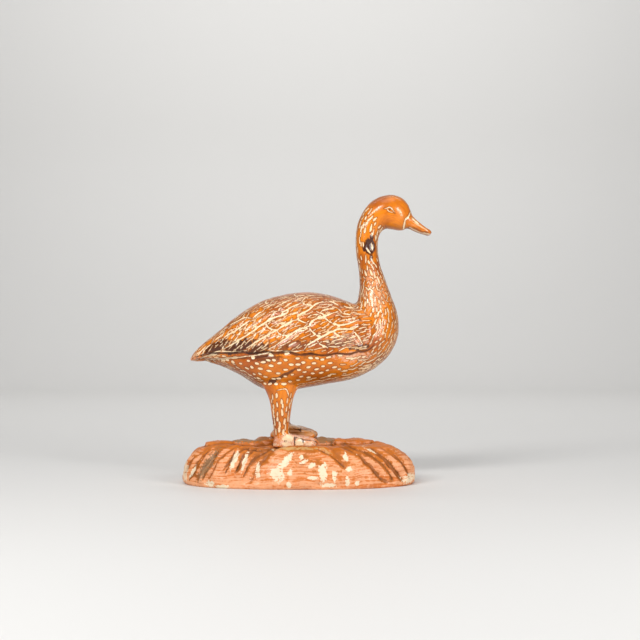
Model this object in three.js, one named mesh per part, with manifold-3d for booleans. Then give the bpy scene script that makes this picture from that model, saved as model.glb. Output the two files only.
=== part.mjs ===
// A carved wooden duck that stands on an oval base carved as rock.
// Millimetres, +Z up, the bill points along +X. The origin is the middle of the base's flat underside.
// Two pieces: the duck, carved whole from tail to bill with its legs and feet, and the base.
import * as THREE from "three";
import { mergeVertices } from "three/addons/utils/BufferGeometryUtils.js";
import Module from "manifold-3d";

const wasm = await Module();
wasm.setup();

// The base: an oval mound with gouged flanks, a floor round the near foot and a ledge under the far foot.
const baseLength = 300;
const baseDepth = 165;
const baseSquareness = 2.4;
const baseFloor = 47;
const ledgeTop = 56;
const endSag = 2.5;

// The duck's legs and feet.
const legSpread = 21;
const legX = -22.6;
const nearSole = baseFloor + 0.3;
const farSole = ledgeTop + 0.3;
const footLength = 47;
const nearHeel = 12;
const farHeel = 15.5;
const toeSpread = 20;
const instep = 15;
const toeDrop = 6.5;
const heelDrop = 4;
const webDrop = 2;
const seatClearance = 0.3;

// Relief that stands out of the body: the folded wings, and the upper half of the bill.
const wingLift = 2.8;
const wingFade = 20;
const wingFront = 9.9;
const wingBulge = 1.15;
const billLip = 0.9;
const eyeRadius = 3.2;
const eyePlace = [116.4, 19.2, 351];

const duckColour = 0xb96a26;
const baseColour = 0xc98155;

// Sections of the carving from the tail tip to the bill tip. Each one joins a point of the upper outline to
// a point of the lower outline. half is its half width, square its fullness, and edge the share of its
// height at which the wing's lower edge lies, or the mouth.
const sections = [
  { at: "tail tip", top: [-140, 159], bottom: [-139.5, 156.5], half: 7, square: 2, edge: 0.55 },
  { at: "tail", top: [-133.5, 169.5], bottom: [-131.5, 155.5], half: 13, square: 2, edge: 0.62 },
  { at: "tail root", top: [-120, 181.5], bottom: [-115.5, 154], half: 20, square: 2, edge: 0.6 },
  { at: "rump", top: [-100.5, 197], bottom: [-95, 147.5], half: 28.5, square: 2, edge: 0.62 },
  { at: "wing tips", top: [-76, 217], bottom: [-72.5, 136], half: 37.5, square: 2.1, edge: 0.61 },
  { at: "back", top: [-47.5, 233.5], bottom: [-47.5, 121], half: 46, square: 2.2, edge: 0.58 },
  { at: "thighs", top: [-18, 242], bottom: [-22, 117], half: 52, square: 2.25, edge: 0.585 },
  { at: "back top", top: [11.5, 245], bottom: [5, 121], half: 54.5, square: 2.25, edge: 0.63 },
  { at: "flank", top: [37.5, 241.5], bottom: [37.5, 127], half: 54, square: 2.25, edge: 0.655 },
  { at: "shoulder", top: [58, 235], bottom: [68.5, 133], half: 51, square: 2.2, edge: 0.655 },
  { at: "wing front", top: [69.5, 230.5], bottom: [98, 147], half: 47, square: 2.1, edge: 0.69 },
  { at: "breast", top: [74.5, 232.5], bottom: [118, 166.5], half: 42, square: 2, edge: 0.67 },
  { at: "breast top", top: [76.5, 239.5], bottom: [128, 191], half: 35, square: 2, edge: 0.66 },
  { at: "neck root", top: [78, 249], bottom: [127, 216.5], half: 28.5, square: 2, edge: 0.62 },
  { at: "lower neck", top: [78, 260.5], bottom: [119.5, 238.5], half: 23.5, square: 2, edge: 0.6 },
  { at: "neck", top: [77, 275], bottom: [112, 259], half: 20, square: 2, edge: 0.6 },
  { at: "neck middle", top: [74, 293], bottom: [104.5, 281], half: 17.5, square: 2, edge: 0.6 },
  { at: "upper neck", top: [73, 311], bottom: [101.5, 302], half: 16.5, square: 2, edge: 0.6 },
  { at: "neck top", top: [75, 330.5], bottom: [103, 316], half: 16.5, square: 2, edge: 0.6 },
  { at: "nape", top: [81.5, 346.5], bottom: [106.5, 323], half: 17.5, square: 2, edge: 0.6 },
  { at: "crown rear", top: [91.5, 360], bottom: [112, 326.5], half: 19.5, square: 2.05, edge: 0.6 },
  { at: "crown", top: [104.5, 368], bottom: [117.5, 326], half: 20.5, square: 2.1, edge: 0.6 },
  { at: "eyes", top: [118.5, 370.3], bottom: [124.5, 325], half: 20.5, square: 2.1, edge: 0.62 },
  { at: "forehead", top: [131.5, 367], bottom: [130.5, 324.5], half: 18, square: 2.1, edge: 0.66 },
  { at: "cheek end", top: [139.5, 359.5], bottom: [134.5, 325], half: 14.8, square: 2.1, edge: 0.7 },
  { at: "bill ridge", top: [144, 349.5], bottom: [137.5, 326.5], half: 12.2, square: 2.1, edge: 0.76 },
  { at: "bill root", top: [147, 342.5], bottom: [141.5, 327], half: 11.2, square: 2.2, edge: 0.78 },
  { at: "nostrils", top: [155, 335], bottom: [149.5, 324.5], half: 11, square: 2.3, edge: 0.76 },
  { at: "bill", top: [163, 328.5], bottom: [158.5, 320.5], half: 11.3, square: 2.3, edge: 0.72 },
  { at: "bill end", top: [169, 325], bottom: [166.5, 318.5], half: 9, square: 2.2, edge: 0.7 },
  { at: "bill tip", top: [171.3, 322.2], bottom: [170, 319.5], half: 4.5, square: 2, edge: 0.65 },
];
const billRoot = sections.findIndex((s) => s.at === "bill root");
const lastSection = sections.length - 1;
const longSections = 11;

// One leg, in level rings from above the thigh down to the ankle: height, half length, half width.
const legRings = [
  [140, 26, 11],
  [131, 25, 13.5],
  [124, 22.5, 15.2],
  [117, 19.3, 15.2],
  [110, 16, 13.8],
  [102, 14, 12.6],
  [92, 12.4, 11.6],
  [80, 10.9, 10.6],
  [68, 10, 9.8],
  [58, 9.6, 9.4],
  [51, 10.4, 10],
];

// The base's profile, from the underside's rim up over the crest to the floor round the feet:
// share of the outline, height.
const baseProfile = [
  [0.975, 0],
  [1, 5],
  [1, 14],
  [0.985, 23],
  [0.95, 33],
  [0.9, 41],
  [0.83, 48],
  [0.74, 52],
  [0.64, 51.5],
  [0.54, 49],
  [0.42, baseFloor],
  [0.2, baseFloor],
];

// The gouges that run down the mound: place in degrees round the oval, where -90 is the front,
// depth, half angle, and the height at which the gouge dies out.
const gouges = [
  [-7, 4, 3.2, 4],
  [-20, 6, 3.6, 4],
  [-32, 7, 3.6, 4],
  [-44, 10, 4.6, 6],
  [-72, 3.5, 5, 26],
  [-110, 8, 4.4, 16],
  [-121, 9, 4.2, 14],
  [-135, 7, 3.6, 6],
  [-145, 9, 4, 4],
  [-153, 6, 3, 4],
  [-162, 6, 3.2, 4],
  [-175, 4, 3, 4],
  [168, 6, 4, 6],
  [148, 9, 4.6, 6],
  [133, 6, 3.6, 10],
  [120, 8, 4.4, 12],
  [97, 5, 4.4, 18],
  [75, 7, 4.4, 14],
  [55, 6, 4, 8],
  [37, 9, 4.6, 6],
  [21, 7, 3.8, 4],
  [6, 5, 3.4, 6],
];

// Rocks on top of the mound: the ledge under the far foot, and a lump before and behind the feet.
const rocks = [
  { x: -9, y: 25, halfLength: 50, halfDepth: 24, top: ledgeTop, flat: 0.85, turn: 0 },
  { x: 34, y: 3, halfLength: 14, halfDepth: 12, top: 56.5, flat: 0.65, turn: 0.3 },
  { x: -52, y: 4, halfLength: 14, halfDepth: 9, top: 54.5, flat: 0.6, turn: -0.3 },
];

function ramp(x, from, to) {
  return THREE.MathUtils.smoothstep(from < to ? x : -x, from < to ? from : -from, from < to ? to : -to);
}

function power(value, exponent) {
  return Math.sign(value) * Math.abs(value) ** exponent;
}

// Joins closed rings of points into one closed body, with a fan of triangles over each end.
function skinRings(rings) {
  const count = rings[0].length;
  const points = rings.flat();
  const middleOf = (ring) => ring.reduce((sum, p) => sum.add(p), new THREE.Vector3()).divideScalar(count);
  points.push(middleOf(rings[0]), middleOf(rings.at(-1)));
  const faces = [];
  for (let j = 0; j < count; j++) {
    const next = (j + 1) % count;
    const last = (rings.length - 1) * count;
    faces.push(points.length - 2, next, j, points.length - 1, last + j, last + next);
    for (let i = 0; i < rings.length - 1; i++) {
      const a = i * count;
      const b = a + count;
      faces.push(a + j, a + next, b + next, a + j, b + next, b + j);
    }
  }
  return new THREE.BufferGeometry().setFromPoints(points).setIndex(faces);
}

function solidOf(geometry) {
  const bare = new THREE.BufferGeometry().setAttribute("position", geometry.getAttribute("position"));
  if (geometry.index) bare.setIndex(geometry.index);
  const merged = mergeVertices(bare, 1e-4);
  const triVerts = new Uint32Array(merged.index.array);
  const vertProperties = merged.attributes.position.array;
  const make = () => new wasm.Manifold(new wasm.Mesh({ numProp: 3, vertProperties, triVerts }));
  const solid = make();
  if (solid.volume() > 0) return solid;
  for (let i = 0; i < triVerts.length; i += 3) {
    [triVerts[i + 1], triVerts[i + 2]] = [triVerts[i + 2], triVerts[i + 1]];
  }
  return make();
}

function geometryOf(solid) {
  const mesh = solid.getMesh();
  const geometry = new THREE.BufferGeometry();
  geometry.setAttribute("position", new THREE.BufferAttribute(new Float32Array(mesh.vertProperties), 3));
  geometry.setIndex(new THREE.BufferAttribute(new Uint32Array(mesh.triVerts), 1));
  geometry.computeVertexNormals();
  return geometry;
}

// The body, neck, head and bill.

const outlineThrough = (pick) => new THREE.CatmullRomCurve3(sections.map(pick), false, "catmullrom", 0.5);
const upperOutline = outlineThrough((s) => new THREE.Vector3(s.top[0], 0, s.top[1]));
const lowerOutline = outlineThrough((s) => new THREE.Vector3(s.bottom[0], 0, s.bottom[1]));
const girth = outlineThrough((s) => new THREE.Vector3(s.half, s.square, s.edge));

// The place along the body where the wing ends in front: it bulges forward at half its height.
function wingFrontAt(share) {
  return wingFront + wingBulge * Math.sin(Math.PI * Math.min(1, share / 0.64));
}

// How deep the surface is cut back at a place: below and in front of the wing, and along the lower bill.
function reliefDepth(station, share, edge, tall) {
  const bill = billLip * ramp(station, billRoot - 0.5, billRoot + 0.3);
  if (share > edge) {
    const below = ((share - edge) * tall) / wingFade;
    const along = ramp(station, 0.4, 2) * ramp(station, wingFront + 1.6, wingFront);
    return wingLift * along * Math.exp(-below * below) + bill;
  }
  const ahead = station - wingFrontAt(share);
  return wingLift * 0.75 * ramp(ahead, -0.1, 0.25) * ramp(ahead, 2.4, 0.25) * ramp(share, 0, 0.2);
}

function bodyRing(station) {
  const t = station / lastSection;
  const top = upperOutline.getPoint(t);
  const bottom = lowerOutline.getPoint(t);
  const [half, square, edge] = girth.getPoint(t).toArray();
  const middle = top.clone().add(bottom).divideScalar(2);
  const up = top.clone().sub(bottom).divideScalar(2);
  const tall = 2 * up.length();
  const edgeAngle = Math.acos(power(1 - 2 * edge, square / 2));
  const stepHalfAngle = 0.025;
  const angles = [];
  for (let k = 0; k <= 8; k++) angles.push(((edgeAngle - stepHalfAngle) * k) / 8);
  for (let k = 0; k <= 7; k++) {
    const from = edgeAngle + stepHalfAngle;
    angles.push(from + ((Math.PI - from) * k) / 7);
  }
  const pointAt = (angle, side) => {
    const rise = power(Math.cos(angle), 2 / square);
    const out = power(Math.sin(angle), 2 / square);
    const share = (1 - rise) / 2;
    const depth = reliefDepth(station, share, edge, tall);
    const normal = up.clone().multiplyScalar((rise * half) / up.length()).setY(out * up.length());
    normal.normalize();
    const point = middle.clone().addScaledVector(up, rise).setY(out * half);
    point.addScaledVector(normal, -depth * Math.min(1, out * 3));
    point.y *= side;
    return point;
  };
  const left = angles.map((angle) => pointAt(angle, 1));
  const right = angles.slice(1, -1).reverse().map((angle) => pointAt(angle, -1));
  return left.concat(right);
}

function bodyGeometry() {
  const rings = [];
  for (let station = 0; station < lastSection; station++) {
    const parts = station < longSections ? 3 : 2;
    for (let k = 0; k < parts; k++) rings.push(bodyRing(station + k / parts));
  }
  rings.push(bodyRing(lastSection));
  return skinRings(rings);
}

// The eyes: small bosses, one on each side of the head.
function eyeSolid(side) {
  const boss = new THREE.SphereGeometry(eyeRadius, 14, 8);
  boss.scale(1.15, 0.6, 0.8);
  boss.rotateZ(-0.12 * side);
  boss.translate(eyePlace[0], side * eyePlace[1], eyePlace[2]);
  return solidOf(boss);
}

// The legs and the webbed feet.

const feet = [
  { side: -1, sole: nearSole, heel: nearHeel },
  { side: 1, sole: farSole, heel: farHeel },
];

// A leg's lowest rings are moved up to end inside its foot.
function legSolid({ side, sole }) {
  const sides = 16;
  const rings = legRings.map(([z, halfLength, halfWidth]) => {
    const ring = [];
    for (let k = 0; k < sides; k++) {
      const angle = (2 * Math.PI * k) / sides;
      const x = legX + halfLength * Math.cos(angle);
      const y = side * legSpread + halfWidth * Math.sin(angle);
      ring.push(new THREE.Vector3(x, y, z < 70 ? Math.max(z, sole) + 2 : z));
    }
    return ring;
  });
  return solidOf(skinRings(rings));
}

// A level ring of the foot: three toes with the web drawn in between them, and a round heel.
// share is how far out from the ankle the ring runs, and rise how far up the foot.
function footRing({ side, sole, heel }, share, rise, grow = 0) {
  const ring = [];
  const count = 32;
  for (let k = 0; k < count; k++) {
    const turnShare = (2 * (k + 0.5)) / count - 1;
    const turn = 180 * power(turnShare, 1.7);
    const fan = ramp(Math.abs(turn), toeSpread + 34, toeSpread + 3);
    const web = Math.abs(turn) < toeSpread ? 0.13 * Math.sin((Math.PI * turn) / toeSpread) ** 2 : 0;
    const reach = (heel + (footLength - heel) * fan * (1 - web)) * share + grow;
    const angle = THREE.MathUtils.degToRad(turn);
    const x = reach * Math.cos(angle);
    const toe = Math.cos((Math.PI * turn) / toeSpread) ** 2 * ramp(Math.abs(turn), 34, 26);
    const drop = toeDrop * ramp(x, 14, 44) + heelDrop * ramp(-x, 8, 16);
    const height = instep - drop - webDrop * (1 - toe) * ramp(reach, 14, 30);
    ring.push(new THREE.Vector3(legX + x, side * legSpread + reach * Math.sin(angle), sole + height * rise));
  }
  return ring;
}

function footSolid(foot) {
  const profile = [[0.97, 0], [1, 0.35], [0.97, 0.75], [0.87, 0.97], [0.6, 1], [0.3, 1]];
  return solidOf(skinRings(profile.map(([share, rise]) => footRing(foot, share, rise))));
}

// The seat that a foot stands in: everything of the base above the sole, inside the foot's outline.
function seatSolid(foot) {
  const floor = footRing(foot, 1, 0, 0.8);
  for (const point of floor) point.z -= seatClearance;
  const roof = floor.map((point) => point.clone().setZ(foot.sole + 30));
  return solidOf(skinRings([floor, roof]));
}

function duckGeometry() {
  let duck = solidOf(bodyGeometry());
  for (const foot of feet) duck = duck.add(legSolid(foot)).add(footSolid(foot)).add(eyeSolid(foot.side));
  return geometryOf(duck);
}

// The base.

// How deep the deepest gouge is at a place on the mound.
function gougeDepthAt(degrees, height) {
  let deepest = 0;
  for (const [angle, depth, spread, foot] of gouges) {
    const apart = Math.abs(((degrees - angle + 540) % 360) - 180) / spread;
    deepest = Math.max(deepest, depth * Math.exp(-apart * apart) * ramp(height, foot - 4, foot + 12));
  }
  return deepest;
}

function basePoint(degrees, [share, height]) {
  const angle = THREE.MathUtils.degToRad(degrees);
  const x = (baseLength / 2) * power(Math.cos(angle), 2 / baseSquareness);
  const y = (baseDepth / 2) * power(Math.sin(angle), 2 / baseSquareness);
  const cut = gougeDepthAt(degrees, height) * ramp(share, 0.44, 0.74);
  const steep = ramp(share, 0.72, 0.95);
  const inward = 1 - (cut * steep) / Math.hypot(x, y);
  const sag = endSag * ramp(Math.abs(x * share), 75, 120) * ramp(height, 20, 48);
  const z = height - cut * (1 - steep) * 0.75 - sag;
  return new THREE.Vector3(x * share * inward, y * share * inward, z);
}

function moundSolid() {
  const count = 120;
  const rings = baseProfile.map((place) => {
    const ring = [];
    for (let k = 0; k < count; k++) ring.push(basePoint((360 * k) / count - 180, place));
    return ring;
  });
  return solidOf(skinRings(rings));
}

// A lump of rock on the mound: an oval dome with a rough outline, sunk into the floor.
function rockSolid({ x, y, halfLength, halfDepth, top, flat, turn }) {
  const rise = top - baseFloor;
  const shoulder = [flat, 0.95 * rise];
  const profile = [[1.04, -6], [1, 0.25 * rise], [0.93, 0.65 * rise], shoulder, [0.5 * flat, rise]];
  const axis = new THREE.Vector3(0, 0, 1);
  const rings = profile.map(([share, height]) => {
    const ring = [];
    for (let k = 0; k < 18; k++) {
      const angle = (2 * Math.PI * k) / 18;
      const rough = 1 + 0.07 * Math.sin(3 * angle + x) + 0.04 * Math.sin(7 * angle + y);
      const point = new THREE.Vector3(halfLength * Math.cos(angle), halfDepth * Math.sin(angle), 0);
      point.multiplyScalar(share * rough).applyAxisAngle(axis, turn);
      ring.push(point.add(new THREE.Vector3(x, y, baseFloor + height)));
    }
    return ring;
  });
  return solidOf(skinRings(rings));
}

function baseGeometry() {
  let base = moundSolid();
  for (const rock of rocks) base = base.add(rockSolid(rock));
  for (const foot of feet) base = base.subtract(seatSolid(foot));
  return geometryOf(base);
}

const carving = new THREE.Group();

const duckWood = new THREE.MeshStandardMaterial({ color: duckColour, roughness: 0.35, metalness: 0 });
const duck = new THREE.Mesh(duckGeometry(), duckWood);
duck.name = "duck";
carving.add(duck);

const baseWood = new THREE.MeshStandardMaterial({ color: baseColour, roughness: 0.55, metalness: 0 });
const base = new THREE.Mesh(baseGeometry(), baseWood);
base.name = "rock_base";
carving.add(base);

export default carving;
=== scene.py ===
import math
import bmesh
import bpy
import numpy as np
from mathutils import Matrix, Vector, kdtree


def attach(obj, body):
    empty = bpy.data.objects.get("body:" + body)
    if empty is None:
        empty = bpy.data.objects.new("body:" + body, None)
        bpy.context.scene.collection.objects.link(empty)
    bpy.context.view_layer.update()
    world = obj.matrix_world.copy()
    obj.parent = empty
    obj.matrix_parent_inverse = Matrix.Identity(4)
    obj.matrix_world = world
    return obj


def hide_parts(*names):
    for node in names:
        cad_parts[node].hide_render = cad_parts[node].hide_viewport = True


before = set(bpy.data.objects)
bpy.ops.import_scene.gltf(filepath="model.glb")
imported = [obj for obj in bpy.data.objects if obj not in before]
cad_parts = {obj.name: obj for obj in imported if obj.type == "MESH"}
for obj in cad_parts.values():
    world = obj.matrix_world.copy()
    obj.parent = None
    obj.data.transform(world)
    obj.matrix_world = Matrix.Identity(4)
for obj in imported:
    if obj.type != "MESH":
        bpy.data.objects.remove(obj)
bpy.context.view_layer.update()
mm = 0.001
toMillimetres = 1000

# The photograph was taken level, from 1.74 m, at the height of the duck's back. Its place is in millimetres.
shot = {"place": (27.1, -1742, 209), "lens": 75.94, "sensor": 36.0}
# Room and lamps, in metres, degrees and watts.
room = {
    "halfWidth": 3.4, "front": -2.6, "back": 2.2, "bend": 0.9, "bendSteps": 16, "height": 3.2,
    "colour": (0.68, 0.67, 0.65), "roughness": 0.6, "airColour": (0.93, 0.95, 1.0), "airStrength": 0.18,
}
onDuck, onWall = (0.02, 0, 0.2), (0, 3.1, 0.9)
lamps = [
    {"name": "leftLamp", "place": (-0.8, -1.25, 1.1), "aim": onDuck, "size": (0.95, 0.34), "roll": 40,
     "power": 24},
    {"name": "rightLamp", "place": (1.16, -1.2, 0.58), "aim": onDuck, "size": (0.3, 1.0), "roll": 20,
     "power": 17},
    {"name": "topLamp", "place": (0.1, -0.3, 1.9), "aim": onDuck, "size": (1.2, 0.9), "roll": 0, "power": 6},
    {"name": "wallLamp", "place": (0, 0.9, 2.4), "aim": onWall, "size": (3.0, 0.6), "roll": 0, "power": 55},
]


def setUpShot():
    camera = bpy.data.objects.new("camera", bpy.data.cameras.new("camera"))
    camera.data.lens = shot["lens"]
    camera.data.sensor_width = shot["sensor"]
    camera.location = Vector(shot["place"]) * mm
    camera.rotation_euler = (math.pi / 2, 0, 0)
    bpy.context.scene.collection.objects.link(camera)
    bpy.context.scene.camera = camera
    bpy.context.scene.view_settings.view_transform = "Standard"
    for lamp in lamps:
        light = bpy.data.lights.new(lamp["name"], "AREA")
        light.shape = "RECTANGLE"
        light.size, light.size_y = lamp["size"]
        light.energy = lamp["power"]
        holder = bpy.data.objects.new(lamp["name"], light)
        holder.location = lamp["place"]
        towards = Vector(lamp["aim"]) - holder.location
        holder.rotation_euler = towards.to_track_quat("-Z", "Y").to_euler()
        holder.rotation_euler.rotate_axis("Z", math.radians(lamp["roll"]))
        bpy.context.scene.collection.objects.link(holder)
    world = bpy.data.worlds.new("roomLight")
    world.use_nodes = True
    air = world.node_tree.nodes["Background"]
    air.inputs["Color"].default_value = (*room["airColour"], 1)
    air.inputs["Strength"].default_value = room["airStrength"]
    bpy.context.scene.world = world


def meshObject(name, points, faces, smooth=True):
    mesh = bpy.data.meshes.new(name)
    mesh.from_pydata([tuple(p) for p in points], [], [tuple(f) for f in faces])
    mesh.polygons.foreach_set("use_smooth", [smooth] * len(mesh.polygons))
    mesh.update()
    thing = bpy.data.objects.new(name, mesh)
    bpy.context.scene.collection.objects.link(thing)
    return thing


def buildRoom():
    # a floor that bends up into the back wall
    back, bend, steps = room["back"], room["bend"], room["bendSteps"]
    profile = [(room["front"], 0.0), (back, 0.0)]
    for k in range(1, steps + 1):
        turn = math.pi / 2 * k / steps
        profile.append((back + bend * math.sin(turn), bend * (1 - math.cos(turn))))
    profile.append((back + bend, room["height"]))
    points = [(side * room["halfWidth"], y, z) for y, z in profile for side in (-1, 1)]
    faces = [(2 * k, 2 * k + 1, 2 * k + 3, 2 * k + 2) for k in range(len(profile) - 1)]
    floor = meshObject("floor", points, faces)
    paper = bpy.data.materials.new("palePaper")
    paper.use_nodes = True
    shader = paper.node_tree.nodes["Principled BSDF"]
    shader.inputs["Base Color"].default_value = (*room["colour"], 1)
    shader.inputs["Roughness"].default_value = room["roughness"]
    floor.data.materials.append(paper)


setUpShot()
buildRoom()
print("shot and room: done")

# The duck, in millimetres. Each section joins a point of the upper outline to a point of the lower one:
# name, top (x, z), bottom (x, z), half width, fullness, share of its height at the wing's lower edge.
duckSections = [
    ("tail tip", -140, 159, -139.5, 156.5, 7, 2, 0.55),
    ("tail", -133.5, 169.5, -131.5, 155.5, 13, 2, 0.62),
    ("tail root", -120, 181.5, -115.5, 154, 20, 2, 0.6),
    ("rump", -100.5, 197, -95, 147.5, 28.5, 2, 0.62),
    ("wing tips", -76, 217, -72.5, 136, 37.5, 2.1, 0.61),
    ("back", -47.5, 233.5, -47.5, 121, 46, 2.2, 0.58),
    ("thighs", -18, 242, -22, 117, 52, 2.25, 0.585),
    ("back top", 11.5, 245, 5, 121, 54.5, 2.25, 0.63),
    ("flank", 37.5, 241.5, 37.5, 127, 54, 2.25, 0.655),
    ("shoulder", 58, 235, 68.5, 133, 51, 2.2, 0.655),
    ("wing front", 69.5, 230.5, 98, 147, 47, 2.1, 0.69),
    ("breast", 74.5, 232.5, 118, 166.5, 42, 2, 0.67),
    ("breast top", 76.5, 239.5, 128, 191, 35, 2, 0.66),
    ("neck root", 78, 249, 127, 216.5, 28.5, 2, 0.62),
    ("lower neck", 78, 260.5, 119.5, 238.5, 23.5, 2, 0.6),
    ("neck", 77, 275, 112, 259, 20, 2, 0.6),
    ("neck middle", 74, 293, 104.5, 281, 17.5, 2, 0.6),
    ("upper neck", 73, 311, 101.5, 302, 16.5, 2, 0.6),
    ("neck top", 75, 330.5, 103, 316, 16.5, 2, 0.6),
    ("nape", 81.5, 346.5, 106.5, 323, 17.5, 2, 0.6),
    ("crown rear", 91.5, 360, 112, 326.5, 19.5, 2.05, 0.6),
    ("crown", 104.5, 368, 117.5, 326, 20.5, 2.1, 0.6),
    ("eyes", 118.5, 370.3, 124.5, 325, 20.5, 2.1, 0.62),
    ("forehead", 131.5, 367, 130.5, 324.5, 18, 2.1, 0.66),
    ("cheek end", 139.5, 359.5, 134.5, 325, 14.8, 2.1, 0.7),
    ("bill ridge", 144, 349.5, 137.5, 326.5, 12.2, 2.1, 0.76),
    ("bill root", 147, 342.5, 141.5, 326.5, 11.2, 2.2, 0.755),
    ("nostrils", 155, 335, 149.5, 322.9, 11, 3.0, 0.77),
    ("bill", 163, 328.5, 158.5, 319.5, 11.3, 3.2, 0.76),
    ("bill end", 169, 325, 166.5, 317.7, 9, 3.0, 0.66),
    ("bill tip", 171.3, 322.2, 170, 319.5, 4.5, 2, 0.65),
]
# Places along the duck are counted in sections. A span runs from where a form is absent to where it is
# whole.
duckForm = {
    "ringsPerSection": 10, "columnsAbove": 60, "columnsBelow": 64, "edgeStep": 0.6, "middleFade": 3,
    "wingLift": 2.8, "wingFade": 20, "wingSpan": (0.4, 2), "edgeGroove": 0.9, "grooveWidth": 2.4,
    "wingFront": 9.9, "wingBulge": 1.15, "bulgeShare": 0.64, "wingEnd": 1.6,
    "scallop": 0.02, "scallopLength": 1.07, "scallopStart": 0.6, "scallopSpan": (2.5, 4),
    # the groove in front of the wing, in sections ahead of its edge
    "frontDepth": 0.8, "frontStep": (-0.22, 0.4), "frontFade": (2.6, 0.4), "frontTop": (0, 0.2),
    # the tail's lower edge, as a share of the height of the first sections
    "tailEdge": (0.89, 0.89, 0.88, 0.78, 0.70, 0.627, 0.585), "tailLift": 1.4, "tailFade": 14,
    "tailStep": (-0.3, 0.7), "tailSpan": (0.3, 1), "tailEnd": (6.4, 5),
    "billLip": 0.5, "billSpan": (25.5, 26.3),
    "voxel": 0.85, "puff": 1.5, "puffReach": 7, "unevenness": 0.9, "mostTriangles": 194000,
}
eyeForm = {
    "place": (116.4, 19.2, 351), "radius": 3.2, "stretch": (1.15, 0.6, 0.8), "rows": 20, "columns": 32,
}
legForm = {
    "spread": 21, "x": -22.6, "rows": 70, "columns": 64, "ankle": 70, "aboveSole": 2, "rowGap": 0.05,
    # height, half length, half width, from above the thigh to the ankle
    "rings": ((140, 26, 11), (131, 25, 13.5), (124, 22.5, 15.2), (117, 19.3, 15.2), (110, 16, 13.8),
              (102, 14, 12.6), (92, 12.4, 11.6), (80, 10.9, 10.6), (68, 10, 9.8), (58, 9.6, 9.4),
              (51, 10.4, 10)),
    # where belly, leg and foot are eased into each other: from below, from above, and out from the leg
    "thighEase": ((108, 116), (136, 128), (40, 30)), "ankleEase": ((2, 8), (32, 20), (26, 17)),
    "easeRounds": 60, "easePull": 0.6, "halfGap": 2,
}
footForm = {
    "length": 47, "toeSpread": 20, "web": 0.13, "instep": 16, "heelDrop": 8, "webDrop": 2,
    "rows": 36, "columns": 128, "gather": 1.7,
    # share of the outline, share of the height: from the sole to the middle of the instep
    "profile": ((0.97, 0), (1, 0.35), (0.97, 0.75), (0.87, 0.97), (0.6, 1), (0.3, 1)),
    # degrees beyond the outer toe, degrees from the middle toe, then millimetres from the leg's middle
    "sideSpan": (34, 3), "toeSpan": (34, 26), "toeDropSpan": (14, 44), "webSpan": (14, 30),
    "heelSpan": (4, 12),
    "near": {"side": -1, "sole": 47.3, "heel": 10.5, "toeDrop": 4},
    "far": {"side": 1, "sole": 56.3, "heel": 15.5, "toeDrop": 7},
}
baseForm = {
    "length": 300, "depth": 165, "squareness": 2.4, "floor": 47, "endSag": 2, "crestDip": 0.8, "voxel": 1.3,
    "rows": 90, "columns": 720, "steepSide": 0.35, "wander": 0.7, "wanderHeight": 7, "topCut": 0.75,
    # waves round the crest: how many, how high and how far shifted
    "crestWaves": ((9, 1, 0.4), (17, 0.8, 1.3), (1, 1.1, 0)), "crestLift": 1.2,
    "rockRows": 24, "rockColumns": 72,
    # a gouge's cut is part bowl, part sharp valley, and dies out between these heights round its foot
    "bowl": 0.55, "valley": 0.55, "valleyWidth": 2.2, "gougeFoot": (-4, 12),
    # shares of the outline where the gouges begin, and where they turn from top to flank
    "gougeStart": (0.44, 0.74), "flankSpan": (0.72, 0.95),
    # where the ends sag, along the base and in height, and the heights where the crest is uneven
    "sagAlong": (75, 120), "sagHeight": (20, 48), "crestSpan": (36, 50),
    # share of the outline, height: from the rim underneath over the crest to the floor round the feet
    "profile": ((0.975, 0), (1, 5), (1, 14), (0.985, 23), (0.95, 33), (0.9, 41), (0.83, 48), (0.74, 52),
                (0.64, 51.5), (0.54, 49), (0.42, 47), (0.2, 47)),
    # degrees round the oval (-90 is the front), lean from foot to crest, depth, half angle, and the height
    # where the gouge dies out
    "gouges": ((-7, 0, 4, 3.2, 4), (-20, -9, 6, 3.6, 4), (-31, -13, 8, 4, 4), (-43, -17, 8.5, 6.5, 1),
               (-72, 0, 3, 5, 28), (-112, 9, 7.5, 7, 3), (-122, 8, 7, 3.4, 14), (-130, 8, 6, 3, 18),
               (-139, 9, 7, 3.2, 6), (-149, 9, 10, 4.8, 4), (-158, 8, 6, 2.8, 4), (-166, 6, 6, 3.2, 4),
               (-175, 0, 4, 3, 4), (168, 0, 6, 4, 6), (147, -2, 13, 4.6, 6), (133, -3, 6, 3.6, 10),
               (120, -4, 8, 4.4, 12), (97, -2, 5, 4.4, 18), (75, 3, 7, 4.4, 14), (55, 5, 6, 4, 8),
               (38, 4, 12, 4.6, 6), (21, 2, 10, 3.8, 4), (6, 0, 5, 3.4, 6)),
    "rocks": ({"x": -9, "y": 25, "halfLength": 50, "halfDepth": 24, "top": 56, "flat": 0.85, "turn": 0},
              {"x": 31, "y": 5, "halfLength": 16, "halfDepth": 12, "top": 57.5, "flat": 0.25, "turn": 0.3},
              {"x": 52, "y": 20, "halfLength": 12, "halfDepth": 11, "top": 54.5, "flat": 0.25, "turn": 0},
              {"x": 76, "y": 18, "halfLength": 19, "halfDepth": 14, "top": 55.6, "flat": 0.2, "turn": -0.2},
              {"x": -44, "y": 6, "halfLength": 17, "halfDepth": 10, "top": 58, "flat": 0.2, "turn": 0.1},
              {"x": -68, "y": 3, "halfLength": 23, "halfDepth": 12, "top": 55, "flat": 0.3, "turn": -0.15},
              {"x": -104, "y": 0, "halfLength": 18, "halfDepth": 15, "top": 54.6, "flat": 0.2, "turn": 0.1}),
}


def ramp(x, start, end):
    share = np.clip((np.asarray(x, float) - start) / (end - start), 0, 1)
    return share * share * (3 - 2 * share)


def power(value, exponent):
    return np.sign(value) * np.abs(value) ** exponent


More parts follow.
